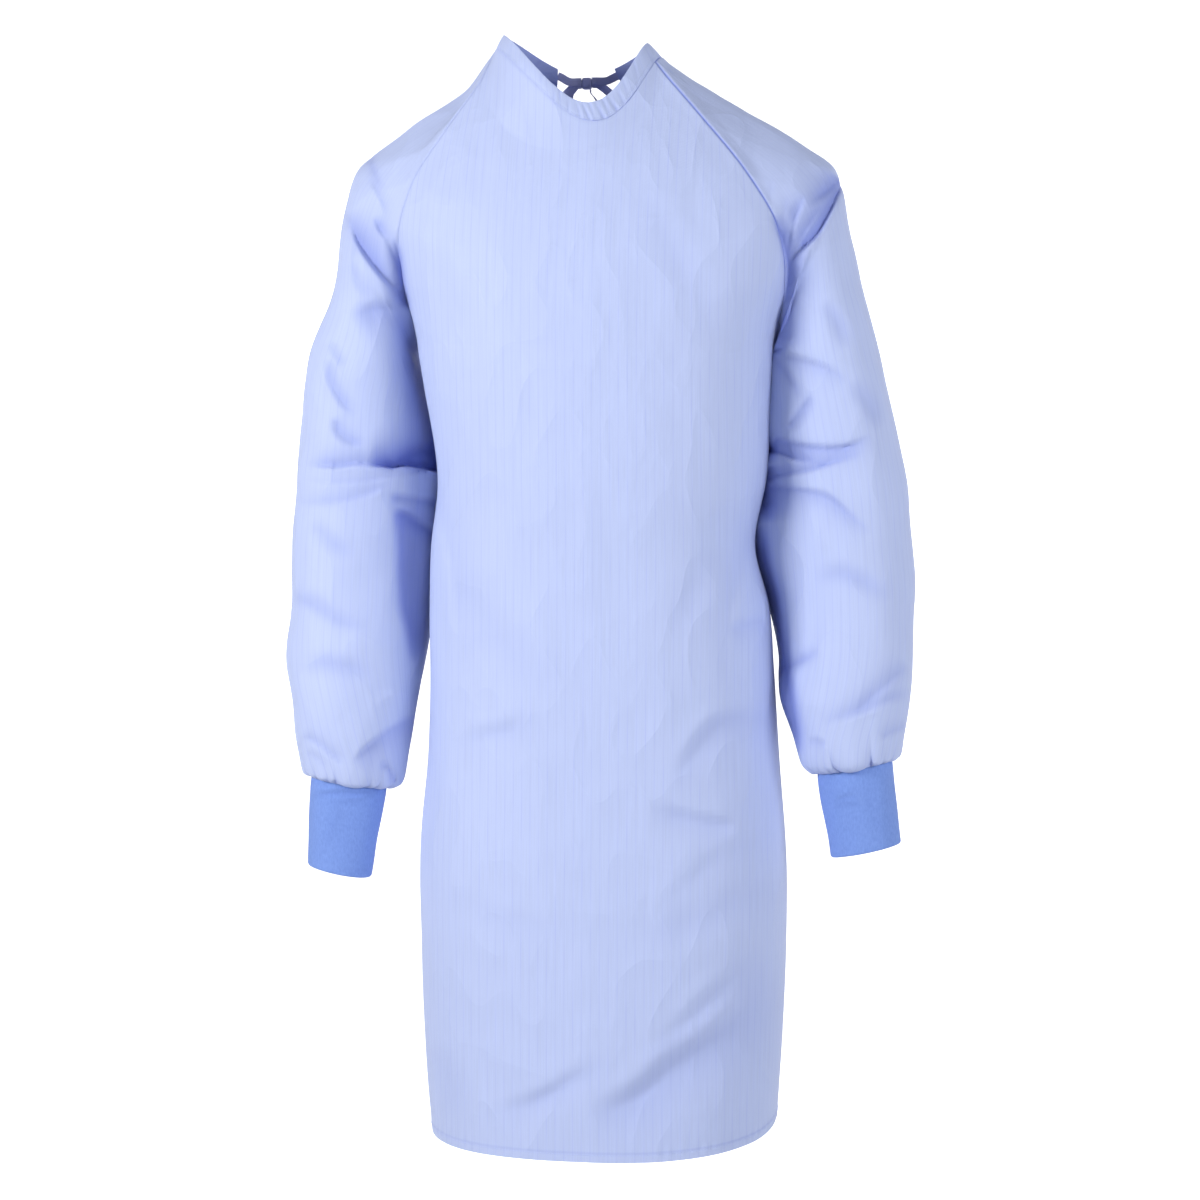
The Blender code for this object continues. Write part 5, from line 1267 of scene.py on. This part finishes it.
# x, y and z of a tape's middle line, then the way that it faces there.
TIES = {
    "tie_strand_left": (
        (-43, 77, 31, -0.2, 1, 0),
        (-36, 81.6, 31.5, 0, 1, 0),
        (-31.55, 81.6, 31.5, 0, 1, 0),
    ),
    "tie_strand_right": (
        (-4, 77, 31.5, 0.2, 1, 0),
        (-16, 81.6, 32, 0, 1, 0),
        (-20.45, 81.6, 32, 0, 1, 0),
    ),
    "tie_loop_left": (
        (-31.55, 84.2, 30, 0, -1, 0),
        (-36, 84.2, 30, 0, -1, 0),
        (-48, 88, 21, 0, -1, 0),
        (-60, 93, 7, 0, -1, 0),
        (-63.5, 94.5, 2.5, -0.45, -0.7, -0.54),
        (-65, 99, 0.8, -0.64, 0, -0.77),
        (-63.5, 103.5, 2.5, -0.45, 0.7, -0.54),
        (-60, 105, 7, 0, 1, 0),
        (-48, 101, 21, 0, 1, 0),
        (-36, 88.6, 30, 0, 1, 0),
        (-31.55, 88.6, 30, 0, 1, 0),
    ),
    "tie_loop_right": (
        (-20.45, 84.2, 30, 0, -1, 0),
        (-16, 84.2, 30, 0, -1, 0),
        (-4, 88, 22, 0, -1, 0),
        (8, 93, 9, 0, -1, 0),
        (11.5, 94.5, 4.5, 0.45, -0.7, -0.54),
        (13, 99, 2.8, 0.64, 0, -0.77),
        (11.5, 103.5, 4.5, 0.45, 0.7, -0.54),
        (8, 105, 9, 0, 1, 0),
        (-4, 101, 22, 0, 1, 0),
        (-16, 88.6, 30, 0, 1, 0),
        (-20.45, 88.6, 30, 0, 1, 0),
    ),
    "tie_tail_left": (
        (-31.55, 82.1, 28.5, 0, -1, 0),
        (-36, 82.1, 28.5, 0, -1, 0),
        (-43, 82.6, 22, 0, -1, 0),
        (-45.5, 84, 10, -0.1, -1, 0),
        (-48, 88, -30, -0.1, -1, 0),
        (-50, 96, -90, -0.2, -1, 0),
        (-46, 104, -150, 0, -1, 0),
    ),
    "tie_tail_right": (
        (-22, 84.5, 23.45, 1, 0, 0),
        (-22, 84.5, 20.5, 1, 0, 0),
        (-17, 84, 14, 0.8, -0.1, 0.5),
        (-11.5, 84.5, 4, 1, -0.3, 0.2),
        (-7, 88, -38, 0.8, -0.7, 0),
        (-4, 96, -95, 0.4, -1, 0),
        (-10, 104, -165, 0, -1, 0),
    ),
}
TIE_STEPS = 14         # along a tie, between two of its points
TIE_COLS = 9

tie_cloth = barrier_cloth("tie_cloth", TIE_BLUE)
for side, name in ((-1, "tie_strand_left"), (1, "tie_strand_right")):
    low, end, high = (neck_point(side * BACK_EDGE_ANGLE, rise) for rise in (0, STRAND_RISE, 1))
    along = unit(end - neck_point(side * (BACK_EDGE_ANGLE - 1), STRAND_RISE))
    facing = unit(np.cross(along, high - low)) * side
    start = end + facing * STRAND_PROUD
    TIES[name] = ((*start, *facing), (*(start + along * STRAND_START), *facing), *TIES[name])
for name, table in TIES.items():
    rows = places_of(table, TIE_STEPS * (len(table) - 1) + 1)
    along = np.gradient(rows[:, :3], axis=0)
    across = unit(np.cross(along, unit(rows[:, 3:])))
    shares = np.linspace(-1, 1, TIE_COLS)[None, :, None]
    middle = rows[:, None, :3] + across[:, None] * shares * TIE_WIDTH / 2
    puffed = TIE_THICK / 2 * (1 - TIE_EDGES * shares**6)
    puffed = puffed + bumps_of(middle, (len(name),), TIE_BUMPS)[..., None]
    off = np.broadcast_to(unit(np.cross(across, along))[:, None], middle.shape) * puffed
    tie_uv = measured(middle, TIE_COLS // 2)
    piece = shell(name.replace("tie", "tape"), middle + off, middle - off, tie_uv, tie_cloth)
    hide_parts(name)
    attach(piece, "root")

bpy.ops.mesh.primitive_cube_add(size=1, location=[value * MM for value in KNOT])
knot = bpy.context.object
knot.name = "tape_knot"
knot.scale = [value * MM for value in KNOT_SIZE]
bpy.ops.object.transform_apply(location=True, rotation=False, scale=True)
rounded = knot.modifiers.new("bevel", "BEVEL")
rounded.width, rounded.segments = KNOT_ROUND * MM, 4
knot.modifiers.new("subsurf", "SUBSURF").levels = 2
made_real(knot)
knot.data.materials.append(tie_cloth)
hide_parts("tie_knot")
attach(knot, "root")

# ---------------------------------------------------------------------------------------------------
# The studio: a white paper sweep that rises behind the gown and gives some light of its own, a light grey
# floor before it, a soft key light from the upper left, a wider fill from the right and a faint rim light
# from above.

FLOOR_Z = -1900
# The sweep's line: y, and z over the floor.
SWEEP = ((1500, 0), (1800, 0), (2500, 120), (3000, 500), (3250, 1100), (3300, 4500))
SWEEP_STEPS = 60
SWEEP_HALF = 6000      # half its width
PAPER = 4              # its thickness


def area_light(name, place, aim, size, power, colour="#FFFFFF"):
    """A square soft light that faces a point; places in millimetres, power in watts."""
    light = bpy.data.objects.new(name, bpy.data.lights.new(name, "AREA"))
    light.data.size = size * MM
    light.data.energy = power
    light.data.color = linear(colour)[:3]
    away = unit(np.array(place, float) - aim)
    side_on = unit(np.cross((0, 0, 1), away))
    light.matrix_world = standing(side_on, np.cross(away, side_on), away, place)
    bpy.context.scene.collection.objects.link(light)


def staged(name, grid, material):
    """A sheet of the studio's paper."""
    shell(name, grid, grid - (0, 0, PAPER), np.zeros((*grid.shape[:2], 2)), material)


sweep_line = places_of(SWEEP, SWEEP_STEPS)
sweep_grid = np.array([
    [(x, y, z + FLOOR_Z) for y, z in sweep_line] for x in np.linspace(-SWEEP_HALF, SWEEP_HALF, 5)
])
floor_grid = np.array([
    [(x, y, FLOOR_Z) for y in (-SWEEP_HALF, -2000, SWEEP[0][0])] for x in (-SWEEP_HALF, 0, SWEEP_HALF)
], float)
white_paper = new_material("white_paper", Base_Color=linear("#FAFAFA"), Roughness=0.9,
                           Emission_Color=linear("#FFFFFF"), Emission_Strength=0.62)[0]
grey_paper = new_material("white_paper_floor", Base_Color=linear("#DFE1E6"), Roughness=0.9)[0]
staged("paper_sweep", sweep_grid, white_paper)
staged("paper_floor", floor_grid, grey_paper)

area_light("key", (-2000, -1700, 250), aim=(0, 0, -450), size=900, power=65, colour="#FFFDFA")
area_light("fill", (2100, -1900, 150), aim=(0, 0, -450), size=1600, power=51)
area_light("rim", (0, 500, 1900), aim=(0, 0, -300), size=1400, power=3)

world = bpy.data.worlds.new("studio")
bpy.context.scene.world = world
world.use_nodes = True
world.node_tree.nodes["Background"].inputs["Color"].default_value = (1, 1, 1, 1)
world.node_tree.nodes["Background"].inputs["Strength"].default_value = 0.23
